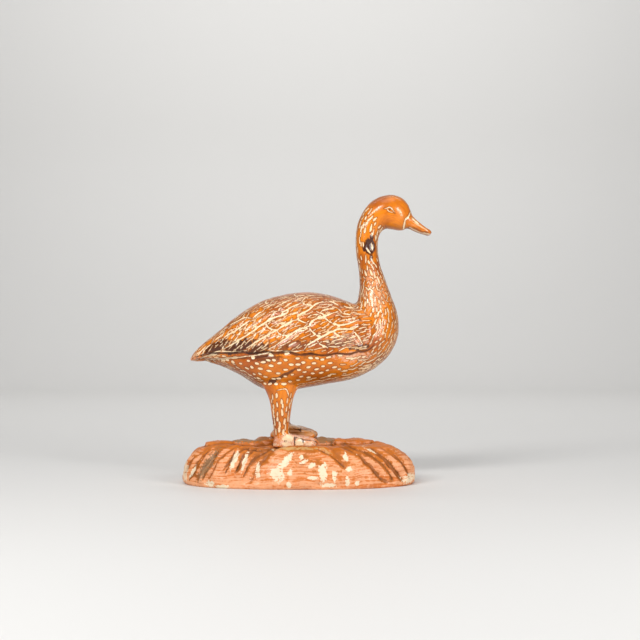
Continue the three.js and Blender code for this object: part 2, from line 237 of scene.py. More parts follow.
def curveThrough(values, places):
    # a smooth curve through the rows of values, read at places counted in rows
    values = np.asarray(values, float)
    padded = np.vstack([2 * values[0] - values[1], values, 2 * values[-1] - values[-2]])
    row = np.clip(np.floor(places).astype(int), 0, len(values) - 2)
    t = (np.asarray(places) - row)[:, None]
    before, here, there, after = (padded[row + k] for k in range(4))
    leave, arrive = (there - before) / 2, (after - here) / 2
    return here + leave * t + (3 * (there - here) - 2 * leave - arrive) * t**2 \
        + (2 * (here - there) + leave + arrive) * t**3


def skinRings(rings):
    # joins closed rings of points, with a fan over each end
    count, sides, _ = rings.shape
    points = np.vstack([rings.reshape(-1, 3), rings[0].mean(0), rings[-1].mean(0)])
    i, j = np.meshgrid(np.arange(count - 1), np.arange(sides), indexing="ij")
    a, b = i * sides + j, i * sides + (j + 1) % sides
    walls = np.stack([a, b, b + sides, a + sides], -1).reshape(-1, 4)
    side = np.arange(sides)
    last = (count - 1) * sides
    start = np.stack([np.full(sides, count * sides), (side + 1) % sides, side], -1)
    end = np.stack([np.full(sides, count * sides + 1), last + side, last + (side + 1) % sides], -1)
    return points, walls.tolist() + start.tolist() + end.tolist()


def wingFrontAt(share):
    # the wing's front edge bulges forward down its height
    turn = math.pi * np.minimum(1, share / duckForm["bulgeShare"])
    return duckForm["wingFront"] + duckForm["wingBulge"] * np.sin(turn)


def reliefDepth(station, share, edge, tailEdge, tall):
    # how far the surface is cut back below and in front of the wing, below the tail, and under the bill
    form = duckForm
    front = form["wingFront"]
    alongWing = ramp(station, *form["wingSpan"]) * ramp(station, front + form["wingEnd"], front)
    below = np.maximum(0, (share - edge) * tall)
    underWing = form["wingLift"] * np.exp(-(below / form["wingFade"]) ** 2)
    underWing += form["edgeGroove"] * np.exp(-(below / form["grooveWidth"]) ** 2)
    belowTail = (share - tailEdge) * tall
    underTail = form["tailLift"] * np.exp(-(np.maximum(0, belowTail) / form["tailFade"]) ** 2)
    underTail *= ramp(belowTail, *form["tailStep"]) * ramp(station, *form["tailSpan"]) \
        * ramp(station, *form["tailEnd"])
    bill = form["billLip"] * ramp(station, *form["billSpan"])
    ahead = station - wingFrontAt(share)
    before = form["wingLift"] * form["frontDepth"] * ramp(ahead, *form["frontStep"]) \
        * ramp(ahead, *form["frontFade"]) * ramp(share, *form["frontTop"])
    return np.where(share > edge, underWing * alongWing + underTail + bill, before)


def bodyRings():
    # the body from tail to bill, ring by ring, and for each point its station, its share of the section's
    # height, how far below the wing's edge it lies, and its run: lengths along and round the body
    form = duckForm
    numbers = np.array([row[1:] for row in duckSections], float)
    last = len(duckSections) - 1
    stations = np.linspace(0, last, last * form["ringsPerSection"] + 1)
    tailEdges = list(form["tailEdge"]) + [row[7] for row in duckSections[len(form["tailEdge"]):]]
    read = curveThrough(np.column_stack([numbers, tailEdges]), stations)
    top = np.stack([read[:, 0], 0 * stations, read[:, 1]], -1)
    bottom = np.stack([read[:, 2], 0 * stations, read[:, 3]], -1)
    half, square, edge, tailEdge = read[:, 4], read[:, 5], read[:, 6], read[:, 7]
    scallops = np.abs(np.sin(math.pi * stations / form["scallopLength"] + form["scallopStart"])) - 0.5
    edge = edge + form["scallop"] * scallops * ramp(stations, *form["scallopSpan"])
    middle, up = (top + bottom) / 2, (top - bottom) / 2
    tall = np.linalg.norm(top - bottom, axis=1)
    edgeAngle = np.arccos(power(1 - 2 * edge, square / 2))
    step = form["edgeStep"] / half
    above = np.linspace(0, 1, form["columnsAbove"])[None] * (edgeAngle - step)[:, None]
    start = (edgeAngle + step)[:, None]
    below = start + (math.pi - start) * np.linspace(0, 1, form["columnsBelow"])[None]
    angle = np.hstack([above, below])
    rise = power(np.cos(angle), 2 / square[:, None])
    out = power(np.sin(angle), 2 / square[:, None])
    share = (1 - rise) / 2
    station = np.repeat(stations[:, None], angle.shape[1], 1)
    depth = reliefDepth(station, share, edge[:, None], tailEdge[:, None], tall[:, None])
    normal = up[:, None] * ((rise * half[:, None]) / (tall[:, None] / 2))[..., None]
    normal[..., 1] = out * tall[:, None] / 2
    normal /= np.linalg.norm(normal, axis=-1, keepdims=True)
    points = middle[:, None] + up[:, None] * rise[..., None]
    points[..., 1] = out * half[:, None]
    points -= normal * (depth * np.minimum(1, out * form["middleFade"]))[..., None]
    mirrored = points[:, 1:-1][:, ::-1] * [1, -1, 1]
    rings = np.concatenate([points, mirrored], 1)
    both = lambda grid: np.concatenate([grid, grid[:, 1:-1][:, ::-1]], 1)
    length = np.concatenate([[0], np.cumsum(np.linalg.norm(np.diff(middle, axis=0), axis=1))])
    girth = np.cumsum(np.linalg.norm(np.diff(points, axis=1, prepend=points[:, :1]), axis=-1), 1)
    signed = np.concatenate([girth, -girth[:, 1:-1][:, ::-1]], 1)
    run = np.stack([np.repeat(length[:, None], rings.shape[1], 1), signed, np.zeros(signed.shape)], -1)
    facts = {
        "station": both(station), "share": both(share), "run": run,
        "belowEdge": both((share - edge[:, None]) * tall[:, None]),
        "flow": np.gradient(rings, axis=0),
    }
    return rings, facts


def legRings(foot):
    form = legForm
    numbers = np.array(form["rings"], float)
    read = curveThrough(numbers, np.linspace(0, len(numbers) - 1, form["rows"]))
    angle = np.linspace(0, 2 * math.pi, form["columns"], endpoint=False)
    x = form["x"] + read[:, 1:2] * np.cos(angle)
    y = foot["side"] * form["spread"] + read[:, 2:3] * np.sin(angle)
    height = read[:, 0]
    z = np.where(height < form["ankle"], np.maximum(height, foot["sole"]) + form["aboveSole"], height)
    apart = np.concatenate([[True], np.abs(np.diff(z)) > form["rowGap"]])
    return np.stack([x, y, np.repeat(z[:, None], len(angle), 1)], -1)[apart]


def footRing(foot, share, rise):
    # one ring round the foot, with three toes and the web between them, close points at the toes
    form = footForm
    count, spread = form["columns"], form["toeSpread"]
    place = (np.arange(count) + 0.5) * 2 / count - 1
    turn = 180 * power(place, form["gather"])
    bare = np.abs(turn)
    noFan, wholeFan = form["sideSpan"]
    fan = ramp(bare, spread + noFan, spread + wholeFan)
    web = np.where(bare < spread, form["web"] * np.sin(math.pi * turn / spread) ** 2, 0)
    reach = (foot["heel"] + (form["length"] - foot["heel"]) * fan * (1 - web)) * share
    x = reach * np.cos(np.radians(turn))
    toe = np.cos(math.pi * turn / spread) ** 2 * ramp(bare, *form["toeSpan"])
    drop = foot["toeDrop"] * ramp(x, *form["toeDropSpan"]) + form["heelDrop"] * ramp(-x, *form["heelSpan"])
    height = form["instep"] - drop - form["webDrop"] * (1 - toe) * ramp(reach, *form["webSpan"])
    y = foot["side"] * legForm["spread"] + reach * np.sin(np.radians(turn))
    return np.stack([legForm["x"] + x, y, foot["sole"] + height * rise], -1)


def footRings(foot):
    rows = footForm["profile"]
    profile = curveThrough(rows, np.linspace(0, len(rows) - 1, footForm["rows"]))
    return np.stack([footRing(foot, share, rise) for share, rise in profile])


def eyeRings(side):
    form = eyeForm
    pole = 0.02
    lift = np.linspace(pole, math.pi - pole, form["rows"])
    turn = np.linspace(0, 2 * math.pi, form["columns"], endpoint=False)
    long, thick, tall = (stretch * form["radius"] for stretch in form["stretch"])
    x = long * np.sin(lift)[:, None] * np.cos(turn)
    y = thick * np.sin(lift)[:, None] * np.sin(turn)
    z = tall * np.cos(lift)[:, None] * np.ones(len(turn))
    place = Vector(form["place"])
    return np.stack([x + place[0], y + side * place[1], z + place[2]], -1)


def joinRings(name, shells):
    # one mesh object of several closed shells
    points, faces = [], []
    for rings in shells:
        shellPoints, shellFaces = skinRings(rings)
        first = sum(len(p) for p in points)
        points.append(shellPoints)
        faces += [[corner + first for corner in face] for face in shellFaces]
    thing = meshObject(name, np.vstack(points) * mm, faces)
    closeSkin(thing)
    return thing


mergeWithin = 0.02


def closeSkin(thing):
    # merges points that lie together, such as those where a section's halves meet, and turns faces outward
    skin = bmesh.new()
    skin.from_mesh(thing.data)
    bmesh.ops.remove_doubles(skin, verts=skin.verts, dist=mergeWithin * mm)
    bmesh.ops.recalc_face_normals(skin, faces=skin.faces)
    skin.to_mesh(thing.data)
    skin.free()


def evaluatedMesh(thing):
    return bpy.data.meshes.new_from_object(thing.evaluated_get(bpy.context.evaluated_depsgraph_get()))


def toPlainMesh(thing):
    # the evaluated shape becomes the object's own mesh, and its modifiers go
    shape = evaluatedMesh(thing)
    thing.modifiers.clear()
    thing.data = shape
    return thing


def carveWhole(thing, voxel):
    # the joined shells become one skin of even small faces
    remesh = thing.modifiers.new("wholeSkin", "REMESH")
    remesh.mode = "VOXEL"
    remesh.voxel_size = voxel * mm
    remesh.use_smooth_shade = True
    return toPlainMesh(thing)


def easeLegs(thing):
    # the legs grow out of the belly, and the feet out of the legs, without a crease
    form = legForm
    points = pointsOf(thing)
    x, y, z = points.T
    fromLeg = np.abs(x - form["x"])
    lower, upper, reach = form["thighEase"]
    weight = ramp(z, *lower) * ramp(z, *upper) * ramp(fromLeg, *reach)
    lower, upper, reach = form["ankleEase"]
    for foot in feet:
        above = z - foot["sole"]
        ankle = ramp(above, *lower) * ramp(above, *upper) * ramp(fromLeg, *reach)
        weight = np.maximum(weight, ankle * (y * foot["side"] > form["halfGap"]))
    pairs = edgePairs(thing)
    for _ in range(form["easeRounds"]):
        points += (neighbourMean(points, pairs) - points) * form["easePull"] * weight[:, None]
    movePoints(thing, points)


def edgePairs(thing):
    pairs = np.empty(2 * len(thing.data.edges), int)
    thing.data.edges.foreach_get("vertices", pairs)
    return pairs.reshape(-1, 2)


def neighbourMean(points, pairs):
    # for each point, the mean of the points that share an edge with it
    a, b = pairs.T
    size = len(points)
    count = np.bincount(a, minlength=size) + np.bincount(b, minlength=size)
    total = np.empty_like(points)
    for axis in range(3):
        total[:, axis] = np.bincount(a, points[b, axis], size) + np.bincount(b, points[a, axis], size)
    return total / np.maximum(1, count)[:, None]


def movePoints(thing, points):
    thing.data.vertices.foreach_set("co", (points * mm).ravel())
    thing.data.update()


def pointsOf(thing):
    flat = np.empty(3 * len(thing.data.vertices))
    thing.data.vertices.foreach_get("co", flat)
    return flat.reshape(-1, 3) * toMillimetres


bodyGrid, bodyFacts = bodyRings()
feet = (footForm["near"], footForm["far"])
legGrids = [legRings(foot) for foot in feet]
footGrids = [footRings(foot) for foot in feet]
duck = joinRings("carvedDuck", [bodyGrid] + legGrids + footGrids + [eyeRings(-1), eyeRings(1)])
carveWhole(duck, duckForm["voxel"])
easeLegs(duck)
print("duck:", len(duck.data.polygons), "faces")


def gougeDepthAt(degrees, height):
    form = baseForm
    below, above = form["gougeFoot"]
    deepest = np.zeros(np.broadcast(degrees, height).shape)
    for angle, lean, depth, spread, foot in form["gouges"]:
        wave = np.sin(height / form["wanderHeight"] + angle)
        wander = lean * height / form["floor"] + form["wander"] * wave
        apart = ((degrees - angle - wander + 540) % 360 - 180) / spread
        outward = np.sign(apart) * np.sign(abs(angle) - 90)
        apart = np.abs(apart) * (1 + form["steepSide"] * outward)
        cut = form["bowl"] * np.exp(-apart**2) + form["valley"] * np.exp(-form["valleyWidth"] * apart)
        deepest = np.maximum(deepest, depth * cut * ramp(height, foot + below, foot + above))
    return deepest


def moundRings():
    form = baseForm
    degrees = np.linspace(-180, 180, form["columns"], endpoint=False)[None]
    rows = curveThrough(form["profile"], np.linspace(0, len(form["profile"]) - 1, form["rows"]))
    share, height = rows[:, :1], np.maximum(rows[:, 1:], 0)
    angle = np.radians(degrees)
    x = form["length"] / 2 * power(np.cos(angle), 2 / form["squareness"])
    y = form["depth"] / 2 * power(np.sin(angle), 2 / form["squareness"])
    cut = gougeDepthAt(degrees, height) * ramp(share, *form["gougeStart"])
    steep = ramp(share, *form["flankSpan"])
    inward = 1 - cut * steep / np.hypot(x, y)
    sag = form["endSag"] * ramp(np.abs(x * share), *form["sagAlong"]) * ramp(height, *form["sagHeight"])
    uneven = sum(size * np.sin(waves * angle + shift) for waves, size, shift in form["crestWaves"])
    dip = form["crestDip"] * (uneven + form["crestLift"]) * ramp(height, *form["crestSpan"])
    z = height - cut * (1 - steep) * form["topCut"] - sag - dip
    return np.stack([x * share * inward, y * share * inward, z], -1)


def rockRings(rock):
    # a lump that rises out of the mound to a flat or a rounded top
    rise, flat = rock["top"] - baseForm["floor"], rock["flat"]
    rows = [(1.04, -6), (1, 0.25 * rise), (0.93, 0.65 * rise), (flat, 0.95 * rise), (0.5 * flat, rise)]
    profile = curveThrough(rows, np.linspace(0, len(rows) - 1, baseForm["rockRows"]))
    angle = np.linspace(0, 2 * math.pi, baseForm["rockColumns"], endpoint=False)
    rough = 1 + 0.07 * np.sin(3 * angle + rock["x"]) + 0.04 * np.sin(7 * angle + rock["y"])
    x = rock["halfLength"] * np.cos(angle) * rough * profile[:, :1]
    y = rock["halfDepth"] * np.sin(angle) * rough * profile[:, :1]
    turn = rock["turn"]
    z = baseForm["floor"] + np.repeat(profile[:, 1:], len(angle), 1)
    return np.stack([rock["x"] + x * math.cos(turn) - y * math.sin(turn),
                     rock["y"] + x * math.sin(turn) + y * math.cos(turn), z], -1)


base = joinRings("carvedBase", [moundRings()] + [rockRings(rock) for rock in baseForm["rocks"]])
carveWhole(base, baseForm["voxel"])
print("base: whole,", len(base.data.polygons), "faces")


# What each point of the duck belongs to, for the strokes and the paint.

def nearestFacts(thing, clouds):
    # for each vertex of the thing, the facts of the nearest point of the clouds
    points = np.vstack([cloud["points"] for cloud in clouds])
    tree = kdtree.KDTree(len(points))
    for i, point in enumerate(points):
        tree.insert(point, i)
    tree.balance()
    nearest = [tree.find(v.co * toMillimetres)[1] for v in thing.data.vertices]
    return {key: np.concatenate([cloud[key] for cloud in clouds])[nearest] for key in clouds[0]}


def bodyCloud():
    # the body's points with all their facts
    flat = lambda grid: grid.reshape(-1, *grid.shape[2:])
    cloud = {key: flat(grid) for key, grid in bodyFacts.items()}
    cloud["points"] = flat(bodyGrid)
    cloud["part"] = np.zeros(len(cloud["points"]))
    return cloud


# Legs, feet and eyes count as far below the wing, and their columns as so many millimetres apart.
offBody = {"station": 6.0, "share": 1.0, "belowEdge": 60.0, "step": 0.9}


def plainCloud(rings, part, flow):
    # the points of a leg, a foot or an eye
    rows, columns, _ = rings.shape
    count = rows * columns
    height = rings[..., 2].ravel() - rings[..., 2].min()
    around = np.tile(np.arange(columns) * offBody["step"], rows)
    return {
        "points": rings.reshape(-1, 3), "part": np.full(count, part), "flow": np.tile(flow, (count, 1)),
        "station": np.full(count, offBody["station"]), "share": np.full(count, offBody["share"]),
        "belowEdge": np.full(count, offBody["belowEdge"]), "run": np.stack([height, around, height * 0], -1),
    }


def normalsOf(thing):
    flat = np.empty(3 * len(thing.data.vertices))
    thing.data.vertex_normals.foreach_get("vector", flat)
    return flat.reshape(-1, 3)


def keep(thing, name, values):
    # stores one number or one vector for each vertex
    values = np.asarray(values, np.float32)
    kind = "FLOAT_VECTOR" if values.ndim == 2 else "FLOAT"
    attribute = thing.data.attributes.new(name, kind, "POINT")
    attribute.data.foreach_set("vector" if values.ndim == 2 else "value", values.ravel())


# Strokes lean more towards the tail: degrees above level at these places along the duck.
strokeLean = {"x": (-98, -35, 14, 58), "degrees": (45, 35, 25, 18)}


def wingFlow(x, normal):
    lean = np.radians(np.interp(x, strokeLean["x"], strokeLean["degrees"]))
    flow = np.stack([np.cos(lean), 0 * lean, np.sin(lean)], -1)
    return flow - normal * np.sum(flow * normal, 1, keepdims=True)


# The knot in the neck: a shallow hollow with a raised rim.
knot = {
    "centre": (91.2, -17, 303.2), "size": (8.2, 9, 11.2), "depth": 1.7, "sinkSpan": (1.05, 0.3),
    "rim": 0.5, "rimAt": 1.2, "rimWidth": 0.16,
}
# Where the beds of strokes lie, as spans from where a bed is absent to where it is whole. A station counts
# sections from the tail, a share runs from 0 on top to 1 underneath, and the rest is in millimetres.
bedSpans = {
    "wing": (("below", -1, -3.5), ("ahead", -0.02, -0.16), ("station", 0.1, 0.6)),
    "top": (("share", 0.035, 0.02),),
    "under": (("below", 3, 6),),
    "thigh": (("height", 121, 124),),
    "flank": (("station", 2.5, 3.1), ("share", 0.92, 0.87), ("station", 9.2, 8.1)),
    "rump": (("station", 0.5, 0.9),),
    "rumpSide": (("station", 3.0, 2.5),),
    "rumpUnder": (("station", 5.2, 4.8), ("share", 0.84, 0.9)),
    "belly": (("share", 0.88, 0.93), ("station", 4.8, 5.2), ("height", 116, 119)),
    "breast": (("station", 8.1, 9.2),),
    "lowNeck": (("station", 12.8, 13.3), ("station", 14.9, 14.3)),
    "neck": (("station", 14.3, 14.9), ("station", 19.9, 19.3), ("toKnot", 1.3, 1.7)),
    "leg": (("height", 56, 60), ("height", 115, 112)),
}
# The stations where the underside's and the breast's beds end, how far ahead of the wing the breast's bed
# starts, and the way strokes run on the thighs; then the dark line under the wing, a painted shadow below
# its edge, and the painted shade along the top and the underside.
duckWear = {
    "underEnd": 10.2, "breastEnd": 13.2, "breastStart": 0.1, "thighFlow": (1.0, 0.0, 0.15),
    "lineBelow": 0.7, "lineWidth": 1.0, "lineEnd": (10.6, 9.6),
    "topShade": 0.8, "topSpan": (0.15, 0.01), "underShade": 0.65, "underSpan": (0.80, 0.97),
}


def sortDuck():
    # stores the beds that strokes are laid in, the way they run, the painted shadow line under the wing, and
    # the painted shade along the top and the underside
    form = duckWear
    legs = [plainCloud(grid, 1, (0, 0.0, 1.0)) for grid in legGrids]
    toes = [plainCloud(grid, 2, (1.0, 0.0, 0.0)) for grid in footGrids]
    eyes = [plainCloud(eyeRings(side), 3, (1.0, 0.0, 0.0)) for side in (-1, 1)]
    facts = nearestFacts(duck, [bodyCloud()] + legs + toes + eyes)
    points = pointsOf(duck)
    station, share, below, part = (facts[key] for key in ("station", "share", "belowEdge", "part"))
    body, leg = part == 0, part == 1
    ahead = station - wingFrontAt(share)
    places = {
        "station": station, "share": share, "below": below, "ahead": ahead, "height": points[:, 2],
        "toKnot": np.linalg.norm((points - knot["centre"]) / knot["size"], axis=1),
    }

    def within(name, start=1.0):
        for place, absent, whole in bedSpans[name]:
            start = start * ramp(places[place], absent, whole)
        return start

    onWing = body & (below < 0) & (ahead < 0)
    wing, onTop = within("wing", onWing), within("top")
    under = within("under", body) * (station < form["underEnd"])
    thigh = within("thigh", leg)
    beds = {
        "wingBed": wing * (1 - onTop),
        "backBed": wing * onTop,
        "flankBed": np.maximum(thigh, within("flank", under)),
        "rumpBed": within("rump", under) * np.maximum(within("rumpSide"), within("rumpUnder")),
        "bellyBed": within("belly", under),
        "breastBed": np.maximum(body & (ahead > form["breastStart"]) & (station < form["breastEnd"]),
                                within("breast", under)),
        "lowNeckBed": within("lowNeck", body),
        "neckBed": within("neck", body),
        "legBed": within("leg", leg),
    }
    for name, bed in beds.items():
        keep(duck, name, bed)
    flow = np.where(onWing[:, None], wingFlow(points[:, 0], normalsOf(duck)), facts["flow"])
    flow[thigh > 0] = form["thighFlow"]
    flow /= np.maximum(1e-6, np.linalg.norm(flow, axis=1, keepdims=True))
    keep(duck, "flow", flow)
    keep(duck, "run", facts["run"] * mm)
    # a painted shadow line just below the wing's edge
    line = np.exp(-((below - form["lineBelow"]) / form["lineWidth"]) ** 2)
    keep(duck, "underWing", body * line * ramp(station, *form["lineEnd"]))
    # painted shade: darker along the top and the underside of the body
    ridge = np.maximum(form["topShade"] * ramp(share, *form["topSpan"]),
                       form["underShade"] * ramp(share, *form["underSpan"]))
    keep(duck, "ridge", body * ridge)


sortDuck()
print("duck: sorted")

# Nodes: a few helpers for every tree.

def newTree(name, inputs):
    tree = bpy.data.node_groups.new(name, "GeometryNodeTree")
    for label, kind in [("Geometry", "Geometry")] + inputs:
        tree.interface.new_socket(label, in_out="INPUT", socket_type="NodeSocket" + kind)
    tree.interface.new_socket("Geometry", in_out="OUTPUT", socket_type="NodeSocketGeometry")
    start = tree.nodes.new("NodeGroupInput")
    end = tree.nodes.new("NodeGroupOutput")
    return tree, start.outputs, end.inputs[0]


def put(tree, kind, inputs=None, **settings):
    # adds a node, with values or other nodes' outputs on its sockets
    node = tree.nodes.new(kind)
    for name, value in settings.items():
        setattr(node, name, value)
    for key, value in (inputs or {}).items():
        if isinstance(key, int):
            socket = node.inputs[key]
        else:
            socket = next(s for s in node.inputs if s.name == key and s.enabled)
        if isinstance(value, bpy.types.Node):
            value = next(s for s in value.outputs if s.enabled)
        if isinstance(value, bpy.types.NodeSocket):
            tree.links.new(value, socket)
        else:
            socket.default_value = value
    return node


def calc(tree, operation, *values):
    return put(tree, "ShaderNodeMath", dict(enumerate(values)), operation=operation).outputs[0]


def calcVector(tree, operation, a, b):
    if operation == "SCALE":
        node = put(tree, "ShaderNodeVectorMath", {0: a, 3: b}, operation=operation)
    else:
        node = put(tree, "ShaderNodeVectorMath", {0: a, 1: b}, operation=operation)
    return node.outputs["Vector"]


def smoothStep(tree, value, low, high):
    return put(tree, "ShaderNodeMapRange", {0: value, 1: low, 2: high, 3: 0.0, 4: 1.0},
               interpolation_type="SMOOTHSTEP").outputs[0]


# Materials. Colours are linear, places and sizes in millimetres, and noise scales count waves in a metre.

def newMaterial(name):
    material = bpy.data.materials.new(name)
    material.use_nodes = True
    return material, material.node_tree, material.node_tree.nodes["Principled BSDF"]


def mixColour(tree, share, a, b):
    # sockets 6 and 7 are the mix node's two colours, and output 2 is its colour
    node = put(tree, "ShaderNodeMix", {0: share}, data_type="RGBA")
    for socket, value in ((node.inputs[6], a), (node.inputs[7], b)):
        if isinstance(value, bpy.types.NodeSocket):
            tree.links.new(value, socket)
        else:
            socket.default_value = (*value, 1)
    return node.outputs[2]


def newGroup(name, inputs, outputs):
    tree = bpy.data.node_groups.new(name, "ShaderNodeTree")
    for label, kind, value in inputs:
        socket = tree.interface.new_socket(label, in_out="INPUT", socket_type="NodeSocket" + kind)
        socket.default_value = value
    for label in outputs:
        tree.interface.new_socket(label, in_out="OUTPUT", socket_type="NodeSocketFloat")
    return tree, tree.nodes.new("NodeGroupInput").outputs, tree.nodes.new("NodeGroupOutput").inputs


def placeGroup(tree, group, inputs):
    node = tree.nodes.new("ShaderNodeGroup")
    node.node_tree = group
    for key, value in inputs.items():
        if isinstance(value, bpy.types.NodeSocket):
            tree.links.new(value, node.inputs[key])
        else:
            node.inputs[key].default_value = value
    return node.outputs


def noiseOf(tree, place, scale, detail=3.0, roughness=0.55):
    return put(tree, "ShaderNodeTexNoise", {"Vector": place, "Scale": scale, "Detail": detail,
                                            "Roughness": roughness}).outputs[0]


def attributeOf(tree, name, output="Fac"):
    return put(tree, "ShaderNodeAttribute", attribute_name=name, attribute_type="GEOMETRY").outputs[output]


# How a carved line looks: how much farther its paint may lie than its half width, the scale of its ragged
# edge, the half widths between which it fades, and where the rim beside it starts and how wide it is.
lineLook = {"slack": 0.45, "raggedScale": 700.0, "fadeSpan": (0.12, 0.3), "rimStart": 0.2, "rimWidth": 1.1}


def linesGroup(kind):
    # where the lines of one kind are cut: a ragged mask, the rim round it, and each line's tone
    tree, given, out = newGroup(kind + "Lines", [
        ("Vector", "Vector", (0, 0, 0)), ("Ragged", "Float", 0.5), ("Soft", "Float", 0.25),
        ("Inset", "Float", 0.0)], ["Mask", "Rim", "Tone"])
    half = attributeOf(tree, kind + "Half")
    aside = calc(tree, "ABSOLUTE", attributeOf(tree, kind + "Aside"))
    reach = calc(tree, "SUBTRACT", attributeOf(tree, kind + "Reach"), lineLook["slack"])
    farther = calc(tree, "MAXIMUM", aside, reach)
    outside = calc(tree, "SUBTRACT", farther, calc(tree, "SUBTRACT", half, given["Inset"]))
    ragged = calc(tree, "SUBTRACT", noiseOf(tree, given["Vector"], lineLook["raggedScale"], 2.0), 0.5)
    outside = calc(tree, "ADD", outside, calc(tree, "MULTIPLY", ragged, given["Ragged"]))
    mask = smoothStep(tree, outside, given["Soft"], calc(tree, "MULTIPLY", given["Soft"], -1.0))
    mask = calc(tree, "MULTIPLY", mask, smoothStep(tree, half, *lineLook["fadeSpan"]))
    beyond = calc(tree, "SUBTRACT", outside, lineLook["rimStart"])
    rim = smoothStep(tree, beyond, lineLook["rimWidth"], 0.0)
    tree.links.new(mask, out["Mask"])
    tree.links.new(calc(tree, "SUBTRACT", rim, mask), out["Rim"])
    tree.links.new(attributeOf(tree, kind + "Tone"), out["Tone"])
    return tree


def stainGroup():
    # a ragged oval patch: centre and half sizes in metres, lean in radians as seen from the side
    tree, given, out = newGroup("stain", [
        ("Vector", "Vector", (0, 0, 0)), ("Centre", "Vector", (0, 0, 0)), ("Size", "Vector", (1, 1, 1)),
        ("Lean", "Float", 0.0), ("Ragged", "Float", 0.5), ("Grain", "Float", 150.0), ("Soft", "Float", 0.2)],
        ["Mask"])
    moved = calcVector(tree, "SUBTRACT", given["Vector"], given["Centre"])
    turned = put(tree, "ShaderNodeVectorRotate", {
        "Vector": moved, "Axis": (0, 1, 0), "Angle": given["Lean"]}, rotation_type="AXIS_ANGLE").outputs[0]
    away = put(tree, "ShaderNodeVectorMath", {0: calcVector(tree, "DIVIDE", turned, given["Size"])},
               operation="LENGTH").outputs["Value"]
    rough = calc(tree, "SUBTRACT", noiseOf(tree, given["Vector"], given["Grain"], 5.0, 0.65), 0.5)
    ragged = calc(tree, "MULTIPLY", given["Ragged"], 3.0)
    away = calc(tree, "ADD", away, calc(tree, "MULTIPLY", rough, ragged))
    outer, inner = calc(tree, "ADD", 1.0, given["Soft"]), calc(tree, "SUBTRACT", 1.0, given["Soft"])
    tree.links.new(smoothStep(tree, away, outer, inner), out["Mask"])
    return tree


def streaksGroup():
    # brush marks and wood grain: noise drawn out along one direction
    tree, given, out = newGroup("streaks", [
        ("Vector", "Vector", (0, 0, 0)), ("Scale", "Vector", (1, 1, 1)), ("Detail", "Float", 3.0)],
        ["Value"])
    stretched = calcVector(tree, "MULTIPLY", given["Vector"], given["Scale"])
    tree.links.new(noiseOf(tree, stretched, 1.0, given["Detail"]), out["Value"])
    return tree


strokeLines, crackAndShadeLines = linesGroup("stroke"), linesGroup("crack")
stainMask, streaks = stainGroup(), streaksGroup()


def stain(tree, place, spot):
    # one spot of a list below: its centre and half sizes, and where they are given its lean and edge
    mask = placeGroup(tree, stainMask, {
        "Vector": place, "Centre": [v * mm for v in spot["centre"]], "Size": [v * mm for v in spot["size"]],
        "Lean": math.radians(spot.get("lean", 0)), "Ragged": spot.get("ragged", 0.9),
        "Grain": spot.get("grain", 230.0), "Soft": spot.get("soft", 0.15)})["Mask"]
    return calc(tree, "MULTIPLY", mask, spot.get("strength", 0.95))


def strongest(tree, masks):
    # the largest of several masks
    total = masks[0]
    for mask in masks[1:]:
        total = calc(tree, "MAXIMUM", total, mask)
    return total


def weighed(tree, *pairs):
    # the sum of values, each times its weight
    total = 0.0
    for value, weight in pairs:
        total = calc(tree, "ADD", total, calc(tree, "MULTIPLY", value, weight))
    return total


def roughen(tree, shader, height, strength, depth):
    # fine unevenness of the surface, its depth in millimetres
    bump = put(tree, "ShaderNodeBump", {"Height": height, "Strength": strength, "Distance": depth * mm})
    tree.links.new(bump.outputs[0], shader.inputs["Normal"])


def setCoat(shader, finish):
    shader.inputs["Coat Weight"].default_value = finish["coat"]
    shader.inputs["Coat Roughness"].default_value = finish["coatRoughness"]
    shader.inputs["Specular IOR Level"].default_value = finish["specular"]
